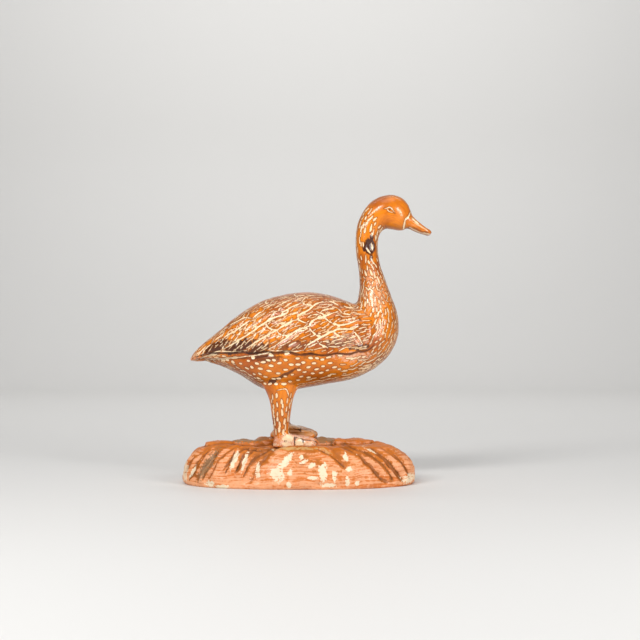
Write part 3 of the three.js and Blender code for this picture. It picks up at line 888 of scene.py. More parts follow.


# Stains, bare wood, chips and a few painted highlights lie where the photograph shows them. A span runs from
# where a colour is absent to where it is whole, and a share says how much it covers there.
duckFinish = {
    "lacquer": (0.76, 0.220, 0.006), "deepLacquer": (0.40, 0.088, 0.005), "redLacquer": (0.52, 0.100, 0.008),
    # the shade colour is painted shade along the top and the underside, and the dark grain of the far foot
    "shadeAndGrain": (0.30, 0.110, 0.014), "pale": (0.90, 0.70, 0.44), "yellowed": (0.84, 0.46, 0.18),
    # the dirt colour darkens hollows and stroke rims: dirt and painted shade; the crack colour fills cracks,
    # the mouth and the painted shadow under the wing
    "stain": (0.046, 0.009, 0.003), "dirtAndShade": (0.145, 0.036, 0.005), "crack": (0.040, 0.011, 0.005),
    "bareWood": (0.70, 0.31, 0.16), "paleWood": (0.80, 0.52, 0.38), "tanWood": (0.55, 0.30, 0.14),
    "burgundy": (0.21, 0.048, 0.026), "pupil": (0.12, 0.05, 0.02),
    "cloudScale": 24.0, "fineScale": 170.0, "woodScale": 300.0, "patchScale": 330.0,
    "brushScale": (45.0, 650.0, 1.0), "grainScale": (30.0, 30.0, 480.0),
    "deepSpan": (0.40, 0.66), "redSpan": (0.45, 0.7), "redShare": 0.55, "fleckSpan": (0.46, 0.58),
    "agedSpan": (0.50, 0.38), "dirtAndShadeSpan": (0.02, 0.24), "dirtAndShadeShare": 0.9, "rimShare": 0.68,
    "wornSpan": (0.55, 1.1), "gapSpan": (0.5, 1.1), "gapShare": 0.72, "crackAndShadeShare": 0.9,
    "roughness": 0.23, "bump": 0.5, "bumpDepth": 0.5, "coat": 0.55, "coatRoughness": 0.13, "specular": 0.2,
    "stains": (
        {"centre": (-104, -30, 174.8), "size": (17, 30, 7.2), "lean": 26, "ragged": 0.7},
        {"centre": (-76, -36, 175.4), "size": (20, 30, 8), "lean": 24, "ragged": 0.75},
        {"centre": (-50, -44, 173), "size": (16, 30, 5.2), "lean": 18, "ragged": 0.85, "strength": 0.9},
        {"centre": (-18, -44, 173.5), "size": (9, 30, 5), "lean": 28, "strength": 0.5, "ragged": 0.8},
        {"centre": (1, -44, 178), "size": (10, 30, 7), "lean": 30, "strength": 0.35, "ragged": 0.9},
        {"centre": (52, -44, 182), "size": (16, 20, 6), "lean": 20, "strength": 0.4, "ragged": 1.3},
        {"centre": (76, -40, 174.5), "size": (14, 20, 3.4), "lean": 8, "strength": 0.85, "ragged": 0.9},
        {"centre": (-42, -44, 162), "size": (16, 30, 5.5), "strength": 0.6, "ragged": 1.0},
        {"centre": (12.6, -44, 165), "size": (9, 30, 5), "strength": 0.4, "ragged": 1.2},
        {"centre": (-33, -50, 131.5), "size": (9, 30, 3.8), "lean": 26, "ragged": 0.6, "strength": 0.9},
        {"centre": (-19, -50, 139), "size": (19, 30, 2.3), "lean": 28, "ragged": 0.6, "strength": 0.8},
        {"centre": (91, -17, 303), "size": (7.8, 12, 10.6), "ragged": 0.2, "grain": 300.0, "strength": 0.98},
        {"centre": (93.3, -17, 314.5), "size": (2.6, 12, 4.5), "ragged": 0.25, "grain": 300.0,
         "strength": 0.98},
        {"centre": (84.6, -17, 301), "size": (3.4, 12, 5), "ragged": 0.25, "grain": 300.0, "strength": 0.98},
        {"centre": (92.6, -17, 289), "size": (2.4, 12, 5), "ragged": 0.35, "grain": 300.0, "strength": 0.85},
    ),
    "bare": (
        {"centre": (60, -46, 182), "size": (22, 26, 9), "strength": 0.85, "ragged": 1.2},
        # pale wear on the front flank, partly a painted highlight
        {"centre": (70, -46, 163), "size": (24, 26, 6.5), "strength": 0.7, "ragged": 1.3},
        {"centre": (98, -22, 240), "size": (13, 26, 20), "strength": 0.5, "ragged": 1.8, "grain": 330.0},
        {"centre": (93, -22, 264), "size": (9, 26, 13), "strength": 0.3, "ragged": 1.6, "grain": 330.0},
        {"centre": (157, 0, 331), "size": (17, 18, 5), "strength": 0.2},
        {"centre": (-136, 0, 160), "size": (13, 22, 8), "strength": 0.6},
        {"centre": (-2, -34, 55), "size": (31, 22, 9), "strength": 0.9},
        {"centre": (-33, -22, 51), "size": (9, 14, 6), "strength": 0.8},
    ),
    "reddened": (
        {"centre": (38, -50, 178), "size": (42, 30, 6), "strength": 0.45, "ragged": 1.1},
        {"centre": (-12, -50, 178), "size": (24, 30, 6), "strength": 0.5, "ragged": 1.1},
        {"centre": (-42, -50, 161), "size": (20, 30, 7), "strength": 0.45, "ragged": 1.1},
        {"centre": (160, 0, 327), "size": (17, 18, 8), "strength": 0.25, "ragged": 0.6},
    ),
    "tan": (
        {"centre": (-4, 24, 65), "size": (36, 36, 13), "strength": 0.85, "ragged": 0.5},
    ),
    "chipsAndHighlights": (
        {"centre": (-13.6, -36, 59.4), "size": (7, 20, 5.2), "ragged": 0.9},
        {"centre": (-14.8, -36, 51), "size": (6, 20, 3.8), "ragged": 0.8},
        {"centre": (1.2, -36, 54), "size": (4.6, 20, 5.5)},
        {"centre": (13.4, -36, 52.1), "size": (7, 20, 3.2), "strength": 0.5},
        {"centre": (-4, 12, 71), "size": (9, 12, 1.8), "strength": 0.5, "lean": -8},
        {"centre": (-34, -30, 50.5), "size": (7, 14, 1.5), "strength": 0.7},
        # a painted highlight along the upper edge of the bill
        {"centre": (156, 0, 329), "size": (14, 18, 1.1), "lean": -31, "strength": 0.5, "ragged": 0.3},
    ),
    "pupils": (
        {"centre": (116.2, -19, 350), "size": (1.25, 9, 1.25), "ragged": 0.1},
        {"centre": (116.2, 19, 350), "size": (1.25, 9, 1.25), "ragged": 0.1},
    ),
}


def duckLacquer():
    finish = duckFinish
    material, tree, shader = newMaterial("duckLacquer")
    place = put(tree, "ShaderNodeTexCoord").outputs["Object"]
    cloud = noiseOf(tree, place, finish["cloudScale"], 5.0)
    fine = noiseOf(tree, place, finish["fineScale"], 4.0)
    brushed = placeGroup(tree, streaks, {
        "Vector": attributeOf(tree, "run", "Vector"), "Scale": finish["brushScale"], "Detail": 3.0})["Value"]
    spotsOf = lambda kind: strongest(tree, [stain(tree, place, spot) for spot in finish[kind]])
    deep = smoothStep(tree, cloud, *finish["deepSpan"])
    colour = mixColour(tree, deep, finish["lacquer"], finish["deepLacquer"])
    reddish = calc(tree, "MULTIPLY", smoothStep(tree, brushed, *finish["redSpan"]), finish["redShare"])
    colour = mixColour(tree, reddish, colour, finish["redLacquer"])
    # painted shade: the colour darkens along the top and the underside of the body
    shaded = calc(tree, "MULTIPLY", attributeOf(tree, "ridge"), calc(tree, "ADD", fine, 0.15))
    colour = mixColour(tree, shaded, colour, finish["shadeAndGrain"])
    # wood shows where the lacquer is rubbed off, and the far foot is bare and aged
    bare = spotsOf("bare")
    flecks = smoothStep(tree, noiseOf(tree, place, finish["woodScale"], 3.0), *finish["fleckSpan"])
    wood = mixColour(tree, flecks, finish["bareWood"], finish["paleWood"])
    colour = mixColour(tree, bare, colour, wood)
    tan = spotsOf("tan")
    grain = placeGroup(tree, streaks, {
        "Vector": place, "Scale": finish["grainScale"], "Detail": 2.0})["Value"]
    aged = mixColour(tree, smoothStep(tree, grain, *finish["agedSpan"]), finish["tanWood"], finish["shadeAndGrain"])
    colour = mixColour(tree, tan, colour, aged)
    colour = mixColour(tree, spotsOf("reddened"), colour, finish["burgundy"])
    # darker in the hollows: dirt and painted shade
    dirtAndShade = smoothStep(tree, attributeOf(tree, "hollow"), *finish["dirtAndShadeSpan"])
    dirtAndShade = calc(tree, "MULTIPLY", dirtAndShade, finish["dirtAndShadeShare"])
    colour = mixColour(tree, dirtAndShade, colour, finish["dirtAndShade"])
    colour = mixColour(tree, spotsOf("stains"), colour, finish["stain"])
    # the carved strokes hold pale paint, thinner in some than in others, within a rim of painted shade
    strokes = placeGroup(tree, strokeLines, {"Vector": place, "Ragged": 0.6, "Soft": 0.28})
    rim = calc(tree, "MULTIPLY", strokes["Rim"], finish["rimShare"])
    colour = mixColour(tree, rim, colour, finish["dirtAndShade"])
    patchy = noiseOf(tree, place, finish["patchScale"], 2.0)
    worn = weighed(tree, (strokes["Tone"], 0.7), (patchy, 1.1))
    pale = mixColour(tree, smoothStep(tree, worn, *finish["wornSpan"]), finish["yellowed"], finish["pale"])
    opacity = calc(tree, "MULTIPLY", strokes["Mask"], weighed(tree, (1.0, 0.6), (strokes["Tone"], 0.4)))
    colour = mixColour(tree, opacity, colour, pale)
    # chips, and a painted highlight along the bill
    chipsAndHighlights = strongest(tree, [stain(tree, place, dict({"ragged": 1.2, "grain": 330.0}, **spot))
                             for spot in finish["chipsAndHighlights"]])
    colour = mixColour(tree, chipsAndHighlights, colour, finish["pale"])
    # cracks, and the broken dark line under the wing, a painted shadow below its edge
    cracksAndShade = placeGroup(tree, crackAndShadeLines, {"Vector": place, "Ragged": 0.8, "Soft": 0.3})
    gap = weighed(tree, (attributeOf(tree, "underWing"), 1.0), (fine, 0.6), (cloud, 1.1), (1.0, -0.85))
    broken = calc(tree, "MULTIPLY", smoothStep(tree, gap, *finish["gapSpan"]), finish["gapShare"])
    shut = calc(tree, "MAXIMUM", cracksAndShade["Mask"], broken)
    shut = calc(tree, "MULTIPLY", shut, finish["crackAndShadeShare"])
    colour = mixColour(tree, shut, colour, finish["crack"])
    colour = mixColour(tree, spotsOf("pupils"), colour, finish["pupil"])
    tree.links.new(colour, shader.inputs["Base Color"])
    rough = weighed(tree, (1.0, finish["roughness"]), (fine, 0.15), (strokes["Mask"], 0.15), (bare, 0.15))
    tree.links.new(rough, shader.inputs["Roughness"])
    roughen(tree, shader, weighed(tree, (brushed, 0.6), (fine, 0.4)), finish["bump"], finish["bumpDepth"])
    setCoat(shader, finish)
    return material


baseFinish = {
    "paint": (0.54, 0.150, 0.014), "brownPaint": (0.30, 0.088, 0.016), "bareWood": (0.76, 0.345, 0.168),
    # the chalk colour fills the chips and one painted highlight; the dirt colour darkens hollows: dirt and
    # painted shade
    "rubbedWood": (0.60, 0.165, 0.030), "chalkAndHighlight": (0.80, 0.67, 0.47), "dirtAndShade": (0.17, 0.060, 0.014),
    # the grey dirt colour is dirt, and painted shade on a rock behind the feet; the crack colour is painted
    # shade down the folds
    "greyDirtAndShade": (0.25, 0.145, 0.065), "crack": (0.24, 0.074, 0.012), "glue": (0.62, 0.39, 0.15),
    "cloudScale": 30.0, "fineScale": 210.0, "driftScale": 26.0, "drift": 12, "chipScale": 95.0,
    "grainScale": (9.0, 9.0, 300.0), "lineScale": (12.0, 12.0, 480.0), "topSpan": (46, 51),
    "heldSpan": (-0.6, 1.6), "paintSpan": (0.0, 0.30), "brownSpan": (0.0, 0.75), "rubbedSpan": (0.53, 0.41),
    "dirtAndShadeSpan": (0.14, 0.8), "dirtAndShadeShare": 0.75, "speckSpan": (0.69, 0.71), "chipSpan": (0.36, 0.43),
    "leastFoldShade": 0.3, "roughness": 0.42, "bump": 0.6, "bumpDepth": 1.2, "coat": 0.15, "coatRoughness": 0.2,
    "specular": 0.2,
    "chipsAndHighlights": (
        {"centre": (-25.4, -75, 18.8), "size": (8.5, 40, 9)},
        {"centre": (-16.1, -75, 33.6), "size": (13, 40, 4), "lean": 50},
        {"centre": (-49.5, -75, 21.9), "size": (3, 40, 8.5)},
        {"centre": (-10, -75, 21.3), "size": (2.8, 40, 4.6)},
        {"centre": (-11.2, -78, 6.5), "size": (3, 40, 4.4)},
        {"centre": (3.6, -70, 39.8), "size": (2.8, 40, 2.6)},
        {"centre": (7.3, -72, 34.2), "size": (4.6, 40, 2.2), "lean": 25},
        {"centre": (16, -74, 29.3), "size": (5.2, 40, 3), "lean": 30},
        {"centre": (30.8, -75, 21.3), "size": (4.8, 40, 11.5)},
        {"centre": (17.8, -77, 14.5), "size": (7, 40, 2.4)},
        {"centre": (38.2, -78, 5.8), "size": (10, 40, 2.6)},
        {"centre": (45, -76, 16.3), "size": (2.7, 40, 7)},
        {"centre": (59.2, -68, 38.6), "size": (3.2, 40, 4.6), "lean": 20},
        {"centre": (62.9, -72, 25), "size": (3.4, 40, 3.2)},
        {"centre": (61.1, -75, 10.2), "size": (2.9, 40, 6)},
        {"centre": (72.8, -75, 7.1), "size": (2.6, 40, 3.2)},
        {"centre": (-80, -60, 33.5), "size": (12, 40, 3), "lean": 66},
        {"centre": (-66.3, -66, 33.5), "size": (10.5, 40, 2.6), "lean": 70},
        {"centre": (-109, -60, 4.8), "size": (5.5, 40, 4)},
        {"centre": (-94, -66, 2.5), "size": (8, 40, 2.2)},
        {"centre": (-145, -20, 18.7), "size": (4.6, 34, 13), "strength": 0.7},
        {"centre": (-133, -45, 18), "size": (9, 40, 2), "lean": 60},
        {"centre": (139, -26, 8.2), "size": (9, 34, 6), "strength": 0.8},
        # along the crest: partly a chip, partly a painted highlight
        {"centre": (88, -42, 46.4), "size": (9, 14, 1.2), "lean": -28},
    ),
    # grey dirt down the left end, grey on the rocks behind the feet, and on the rock right of the feet
    # painted shade
    "grey": (
        {"centre": (-113.5, -55, 27.8), "size": (21, 40, 4.8), "lean": 57, "ragged": 1.5, "grain": 420.0,
         "strength": 0.85},
        {"centre": (-69, 2, 55.5), "size": (20, 13, 6), "strength": 0.85},
        {"centre": (-47, 6, 56.5), "size": (11, 11, 7), "strength": 0.6},
        {"centre": (34, 3, 57), "size": (16, 14, 8), "strength": 0.85},
    ),
    "glueLine": (
        {"centre": (-3, -58, 48.6), "size": (33, 11, 2.6), "strength": 0.85, "ragged": 0.4},
        {"centre": (36, -56, 45), "size": (12, 14, 3), "strength": 0.5, "lean": -30},
    ),
}


def basePaint():
    finish = baseFinish
    material, tree, shader = newMaterial("basePaint")
    place = put(tree, "ShaderNodeTexCoord").outputs["Object"]
    cloud = noiseOf(tree, place, finish["cloudScale"], 5.0)
    fine = noiseOf(tree, place, finish["fineScale"], 4.0)
    hollow, gouge, upward = (attributeOf(tree, name) for name in ("hollow", "gouge", "upward"))
    drift = put(tree, "ShaderNodeTexNoise", {"Vector": place, "Scale": finish["driftScale"], "Detail": 1.0})
    drift = calcVector(tree, "SCALE", drift.outputs["Color"], finish["drift"] * mm)
    wavy = calcVector(tree, "ADD", place, drift)
    grain = placeGroup(tree, streaks, {
        "Vector": wavy, "Scale": finish["grainScale"], "Detail": 3.0})["Value"]
    # paint is left in the gouges and on top, and rubbed off the ridges and the flanks
    least, most = finish["heldSpan"]
    held = calc(tree, "MINIMUM", calc(tree, "MAXIMUM", gouge, least), most)
    folds = placeGroup(tree, crackAndShadeLines, {"Vector": place, "Ragged": 5.0, "Soft": 3.5})["Mask"]
    low, high = finish["topSpan"]
    onTop = smoothStep(tree, put(tree, "ShaderNodeSeparateXYZ", {0: place}).outputs[2], low * mm, high * mm)
    left = weighed(tree, (upward, 1.15), (held, 0.45), (folds, 1.3), (onTop, 0.6), (cloud, 1.5),
                   (grain, -1.3), (fine, 0.9), (1.0, -0.92))
    painted = smoothStep(tree, left, *finish["paintSpan"])
    darker = weighed(tree, (gouge, 0.35), (upward, 0.25), (cloud, 1.6), (folds, 0.4), (fine, 0.5),
                     (1.0, -0.95))
    brown = smoothStep(tree, darker, *finish["brownSpan"])
    paint = mixColour(tree, brown, finish["paint"], finish["brownPaint"])
    lines = placeGroup(tree, streaks, {"Vector": wavy, "Scale": finish["lineScale"], "Detail": 2.0})["Value"]
    rubbed = smoothStep(tree, weighed(tree, (fine, 0.35), (lines, 0.65)), *finish["rubbedSpan"])
    bare = mixColour(tree, rubbed, finish["bareWood"], finish["rubbedWood"])
    colour = mixColour(tree, painted, bare, paint)
    # darker in the hollows: dirt and painted shade
    dirtAndShade = calc(tree, "MULTIPLY", smoothStep(tree, hollow, *finish["dirtAndShadeSpan"]), finish["dirtAndShadeShare"])
    colour = mixColour(tree, dirtAndShade, colour, finish["dirtAndShade"])
    grey = strongest(tree, [stain(tree, place, spot) for spot in finish["grey"]])
    colour = mixColour(tree, grey, colour, finish["greyDirtAndShade"])
    glue = strongest(tree, [stain(tree, place, spot) for spot in finish["glueLine"]])
    colour = mixColour(tree, glue, colour, finish["glue"])
    # chips down to the chalky ground: the large ones in their places, small ones scattered, all cut by
    # grain;
    # the one along the crest is partly a chip and partly a painted highlight
    chipsAndHighlights = strongest(tree, [stain(tree, place, dict({"ragged": 0.95, "grain": 270.0, "soft": 0.13}, **spot))
                             for spot in finish["chipsAndHighlights"]])
    flattened = calcVector(tree, "MULTIPLY", place, (1.0, 1.0, 0.6))
    scattered = noiseOf(tree, flattened, finish["chipScale"], 4.0, 0.65)
    chipsAndHighlights = calc(tree, "MAXIMUM", chipsAndHighlights, smoothStep(tree, scattered, *finish["speckSpan"]))
    cut = smoothStep(tree, weighed(tree, (lines, 0.6), (fine, 0.4)), *finish["chipSpan"])
    chipsAndHighlights = calc(tree, "MULTIPLY", chipsAndHighlights, cut)
    colour = mixColour(tree, chipsAndHighlights, colour, finish["chalkAndHighlight"])
    # painted shade down the middle of the folds, uneven in strength
    cracksAndShade = placeGroup(tree, crackAndShadeLines, {
        "Vector": place, "Ragged": 3.5, "Soft": 1.5, "Inset": 1.5})["Mask"]
    uneven = calc(tree, "ADD", finish["leastFoldShade"], cloud)
    colour = mixColour(tree, calc(tree, "MULTIPLY", cracksAndShade, uneven), colour, finish["crack"])
    tree.links.new(colour, shader.inputs["Base Color"])
    rough = weighed(tree, (1.0, finish["roughness"]), (fine, 0.3), (painted, -0.14))
    tree.links.new(rough, shader.inputs["Roughness"])
    relief = weighed(tree, (grain, 0.6), (fine, 0.4), (chipsAndHighlights, -0.15))
    roughen(tree, shader, relief, finish["bump"], finish["bumpDepth"])
    setCoat(shader, finish)
    return material


for piece, finish in ((duck, duckLacquer()), (base, basePaint())):
    piece.data.materials.append(finish)
print("finishes: done")


# Geometry Nodes: strokes are scattered, lines are laid, and both are carved into the surface.

def named(tree, name, kind="FLOAT"):
    return put(tree, "GeometryNodeInputNamedAttribute", {"Name": name}, data_type=kind).outputs[0]


def store(tree, geometry, name, value, kind="FLOAT", domain="POINT"):
    return put(tree, "GeometryNodeStoreNamedAttribute", {"Geometry": geometry, "Name": name, "Value": value},
               data_type=kind, domain=domain).outputs[0]


def endTree(tree, geometry, finish, result):
    whole = put(tree, "GeometryNodeRealizeInstances", {"Geometry": geometry})
    painted = put(tree, "GeometryNodeSetMaterial", {"Geometry": whole, "Material": finish})
    tree.links.new(painted.outputs[0], result)
    return tree


def shapeOf(tree, thing):
    info = put(tree, "GeometryNodeObjectInfo", {"Object": thing}, transform_space="ORIGINAL")
    return info.outputs["Geometry"]


def nearestOn(tree, geometry, kind):
    return put(tree, "GeometryNodeProximity", {0: geometry}, target_element=kind).outputs


def chance(tree, low, high, seed):
    node = put(tree, "FunctionNodeRandomValue", {2: low, 3: high, "Seed": seed}, data_type="FLOAT")
    return node.outputs[1]


def ovalWidth(tree, place, widest, taper):
    # 1 at the stroke's widest place, 0 at both ends
    behind = calc(tree, "LESS_THAN", place, widest)
    before = calc(tree, "MULTIPLY", behind, widest)
    after = calc(tree, "MULTIPLY", calc(tree, "SUBTRACT", 1.0, behind), calc(tree, "SUBTRACT", 1.0, widest))
    length = calc(tree, "ADD", before, after)
    apart = calc(tree, "DIVIDE", calc(tree, "SUBTRACT", place, widest), length)
    left = calc(tree, "MAXIMUM", calc(tree, "SUBTRACT", 1.0, calc(tree, "MULTIPLY", apart, apart)), 0.0)
    return calc(tree, "POWER", left, taper)


# A stroke's points, how thickly strokes lie in a bed, how near a drawn line they end as a share of their
# clearance, and what is added to a bed's seed for each thing drawn at random.
scattering = {
    "points": 9, "density": 3.0, "closest": 0.7,
    "seeds": {"Length": 11.0, "Width": 17.0, "bend": 23.0, "tone": 31.0},
}


def scatterStrokesTree():
    # lays short strokes in a bed of the surface, along its flow, as loose edges that know their width
    tree, given, result = newTree("scatterStrokes", [
        ("Bed", "String"), ("Spacing", "Float"), ("Length", "Float"), ("Length Spread", "Float"),
        ("Width", "Float"), ("Width Spread", "Float"), ("Turn", "Float"), ("Least Bend", "Float"),
        ("Most Bend", "Float"), ("Widest", "Float"), ("Taper", "Float"), ("Depth", "Float"),
        ("Across", "Float"), ("Clear Of", "Object"), ("Clearance", "Float"), ("Seed", "Int"),
        ("Least Tone", "Float"), ("Finish", "Material")])
    surface = given["Geometry"]
    seed = given["Seed"]
    area = calc(tree, "MULTIPLY", given["Spacing"], given["Spacing"])
    scatter = put(tree, "GeometryNodeDistributePointsOnFaces", {
        "Mesh": surface, "Distance Min": given["Spacing"], "Density Max": calc(
            tree, "DIVIDE", scattering["density"], area),
        "Density Factor": named(tree, given["Bed"]), "Seed": seed}, distribute_method="POISSON")
    lines = shapeOf(tree, given["Clear Of"])
    near = nearestOn(tree, lines, "EDGES")
    tooNear = put(tree, "FunctionNodeCompare", {"A": near["Distance"], "B": given["Clearance"]},
                  data_type="FLOAT", operation="LESS_THAN")
    points = put(tree, "GeometryNodeDeleteGeometry", {"Geometry": scatter.outputs["Points"],
                                                      "Selection": tooNear}, domain="POINT")
    upright = put(tree, "FunctionNodeAlignRotationToVector", {"Vector": scatter.outputs["Normal"]}, axis="Z")
    along = put(tree, "FunctionNodeAlignRotationToVector", {
        "Rotation": upright, "Vector": named(tree, "flow", "FLOAT_VECTOR")}, axis="X", pivot_axis="Z")
    turn = calc(tree, "MULTIPLY", given["Turn"], chance(tree, -1.0, 1.0, seed))
    turn = calc(tree, "ADD", turn, calc(tree, "MULTIPLY", given["Across"], math.pi / 2))
    spin = put(tree, "FunctionNodeAxisAngleToRotation", {"Axis": (0, 0, 1), "Angle": turn})
    laid = put(tree, "FunctionNodeRotateRotation", {"Rotation": along, "Rotate By": spin},
               rotation_space="LOCAL")
    seeded = lambda low, high, name: chance(
        tree, low, high, calc(tree, "ADD", seed, scattering["seeds"][name]))
    spread = lambda name: calc(tree, "MULTIPLY", given[name], calc(
        tree, "ADD", 1.0, calc(tree, "MULTIPLY", given[name + " Spread"], seeded(-1.0, 1.0, name))))
    length = spread("Length")
    bendShare = seeded(given["Least Bend"], given["Most Bend"], "bend")
    side = put(tree, "FunctionNodeRotateVector", {"Vector": (0, 1, 0), "Rotation": laid})
    marked = store(tree, points, "wide", spread("Width"))
    marked = store(tree, marked, "bow", calc(tree, "MULTIPLY", length, bendShare))
    marked = store(tree, marked, "tone", seeded(given["Least Tone"], 1.0, "tone"))
    marked = store(tree, marked, "across", side, "FLOAT_VECTOR")
    line = put(tree, "GeometryNodeMeshLine", {
        "Count": scattering["points"], "Start Location": (-0.5, 0, 0), "Offset": (0.5, 0, 0)},
        mode="END_POINTS")
    where = put(tree, "ShaderNodeSeparateXYZ", {0: put(tree, "GeometryNodeInputPosition")})
    stroke = store(tree, line, "place", calc(tree, "ADD", where.outputs[0], 0.5))
    size = put(tree, "ShaderNodeCombineXYZ", {0: length, 1: length, 2: 1.0})
    strokes = put(tree, "GeometryNodeInstanceOnPoints", {
        "Points": marked, "Instance": stroke, "Rotation": laid, "Scale": size})
    whole = put(tree, "GeometryNodeRealizeInstances", {"Geometry": strokes})
    place = named(tree, "place")
    bow = named(tree, "bow")
    arch = calc(tree, "SINE", calc(tree, "MULTIPLY", place, math.pi))
    arch = calc(tree, "MULTIPLY", bow, arch)
    bent = put(tree, "GeometryNodeSetPosition", {
        "Geometry": whole, "Offset": calcVector(tree, "SCALE", named(tree, "across", "FLOAT_VECTOR"), arch)})
    onto = nearestOn(tree, surface, "FACES")
    laidDown = put(tree, "GeometryNodeSetPosition", {"Geometry": bent, "Position": onto["Position"]})
    width = ovalWidth(tree, place, given["Widest"], given["Taper"])
    # strokes thin out and end where they come close to a drawn line
    beside = nearestOn(tree, lines, "EDGES")
    closest = calc(tree, "MULTIPLY", given["Clearance"], scattering["closest"])
    free = smoothStep(tree, beside["Distance"], closest, given["Clearance"])
    wide = calc(tree, "MULTIPLY", named(tree, "wide"), width)
    marked = store(tree, laidDown, "thick", calc(tree, "MULTIPLY", wide, free))
    marked = store(tree, marked, "sink", calc(tree, "MULTIPLY", given["Depth"], free))
    return endTree(tree, marked, given["Finish"], result)


# Lines are drawn this far beside the middle plane, in steps, and wander a little, all in millimetres. Their
# width is a share of the one given, smaller at the ends and uneven on the way.
drawing = {
    "beside": 120, "step": 1.2, "wander": 1.6, "wanderScale": 130.0, "resolution": 12, "rayLength": 300,
    "missShare": 0.06, "endWidth": 0.35, "endSpan": (0.0, 0.22), "leastWidth": 0.05, "moreWidth": 1.4,
    "widthScale": 210.0,
}


def layLinesTree():
    # lays drawn lines on the surface, straight in from the side they are drawn beside
    tree, given, result = newTree("layLines", [
        ("Surface", "Object"), ("Step", "Float"), ("Wander", "Float"), ("Depth", "Float"), ("Tone", "Float"),
        ("Finish", "Material")])
    smooth = put(tree, "GeometryNodeCurveSplineType", {"Curve": given["Geometry"]},
                 spline_type="CATMULL_ROM")
    fine = put(tree, "GeometryNodeSetSplineResolution", {
        "Geometry": smooth, "Resolution": drawing["resolution"]})
    steps = put(tree, "GeometryNodeResampleCurve", {"Curve": fine, "Length": given["Step"]}, mode="LENGTH")
    place = put(tree, "GeometryNodeSplineParameter").outputs["Factor"]
    toEnd = calc(tree, "MINIMUM", place, calc(tree, "SUBTRACT", 1.0, place))
    ends = smoothStep(tree, toEnd, *drawing["endSpan"])
    ends = calc(tree, "ADD", drawing["endWidth"], calc(tree, "MULTIPLY", 1 - drawing["endWidth"], ends))
    rough = put(tree, "ShaderNodeTexNoise", {"Scale": drawing["widthScale"], "Detail": 1.0}).outputs[0]
    rough = calc(tree, "MULTIPLY", drawing["moreWidth"], rough)
    rough = calc(tree, "ADD", drawing["leastWidth"], rough)
    thick = calc(tree, "MULTIPLY", put(tree, "GeometryNodeInputRadius"), calc(tree, "MULTIPLY", ends, rough))
    marked = store(tree, steps, "thick", thick)
    marked = store(tree, marked, "sink", given["Depth"])
    marked = store(tree, marked, "tone", given["Tone"])
    drift = put(tree, "ShaderNodeTexNoise", {"Scale": drawing["wanderScale"], "Detail": 1.0})
    drift = calcVector(tree, "SUBTRACT", drift.outputs["Color"], (0.5, 0.5, 0.5))
    drift = calcVector(tree, "SCALE", drift, given["Wander"])
    moved = put(tree, "GeometryNodeSetPosition", {"Geometry": marked, "Offset": drift})
    where = put(tree, "ShaderNodeSeparateXYZ", {0: put(tree, "GeometryNodeInputPosition")})
    towards = calc(tree, "MULTIPLY", calc(tree, "SIGN", where.outputs[1]), -1.0)
    inward = put(tree, "ShaderNodeCombineXYZ", {1: towards})
    surface = shapeOf(tree, given["Surface"])
    ray = put(tree, "GeometryNodeRaycast", {
        "Target Geometry": surface, "Ray Direction": inward, "Ray Length": drawing["rayLength"] * mm})
    # a point that misses the surface goes near the middle plane, and from there to the nearest face
    nearMiddle = calc(tree, "MULTIPLY", where.outputs[1], drawing["missShare"])
    middle = put(tree, "ShaderNodeCombineXYZ", {0: where.outputs[0], 1: nearMiddle, 2: where.outputs[2]})
    landing = put(tree, "GeometryNodeSwitch", {"Switch": ray.outputs["Is Hit"], "False": middle.outputs[0],
                                               "True": ray.outputs["Hit Position"]}, input_type="VECTOR")
    laid = put(tree, "GeometryNodeSetPosition", {"Geometry": moved, "Position": landing})
    onto = nearestOn(tree, surface, "FACES")
    laid = put(tree, "GeometryNodeSetPosition", {"Geometry": laid, "Position": onto["Position"]})
    across = calcVector(tree, "CROSS_PRODUCT", put(tree, "GeometryNodeInputTangent").outputs[0], inward)
    across = calcVector(tree, "NORMALIZE", across, (0, 0, 0))
    marked = store(tree, laid, "across", across, "FLOAT_VECTOR")
    edges = put(tree, "GeometryNodeCurveToMesh", {"Curve": marked})
    return endTree(tree, edges.outputs[0], given["Finish"], result)


# A cut runs from the surface to its bottom between these distances, counted in half widths of at least so
# many millimetres. The waves are the carving's unevenness.
carving = {"cutSpan": (1.35, 0.1), "leastHalf": 0.2, "waveScale": 85.0, "waveRoughness": 0.45}


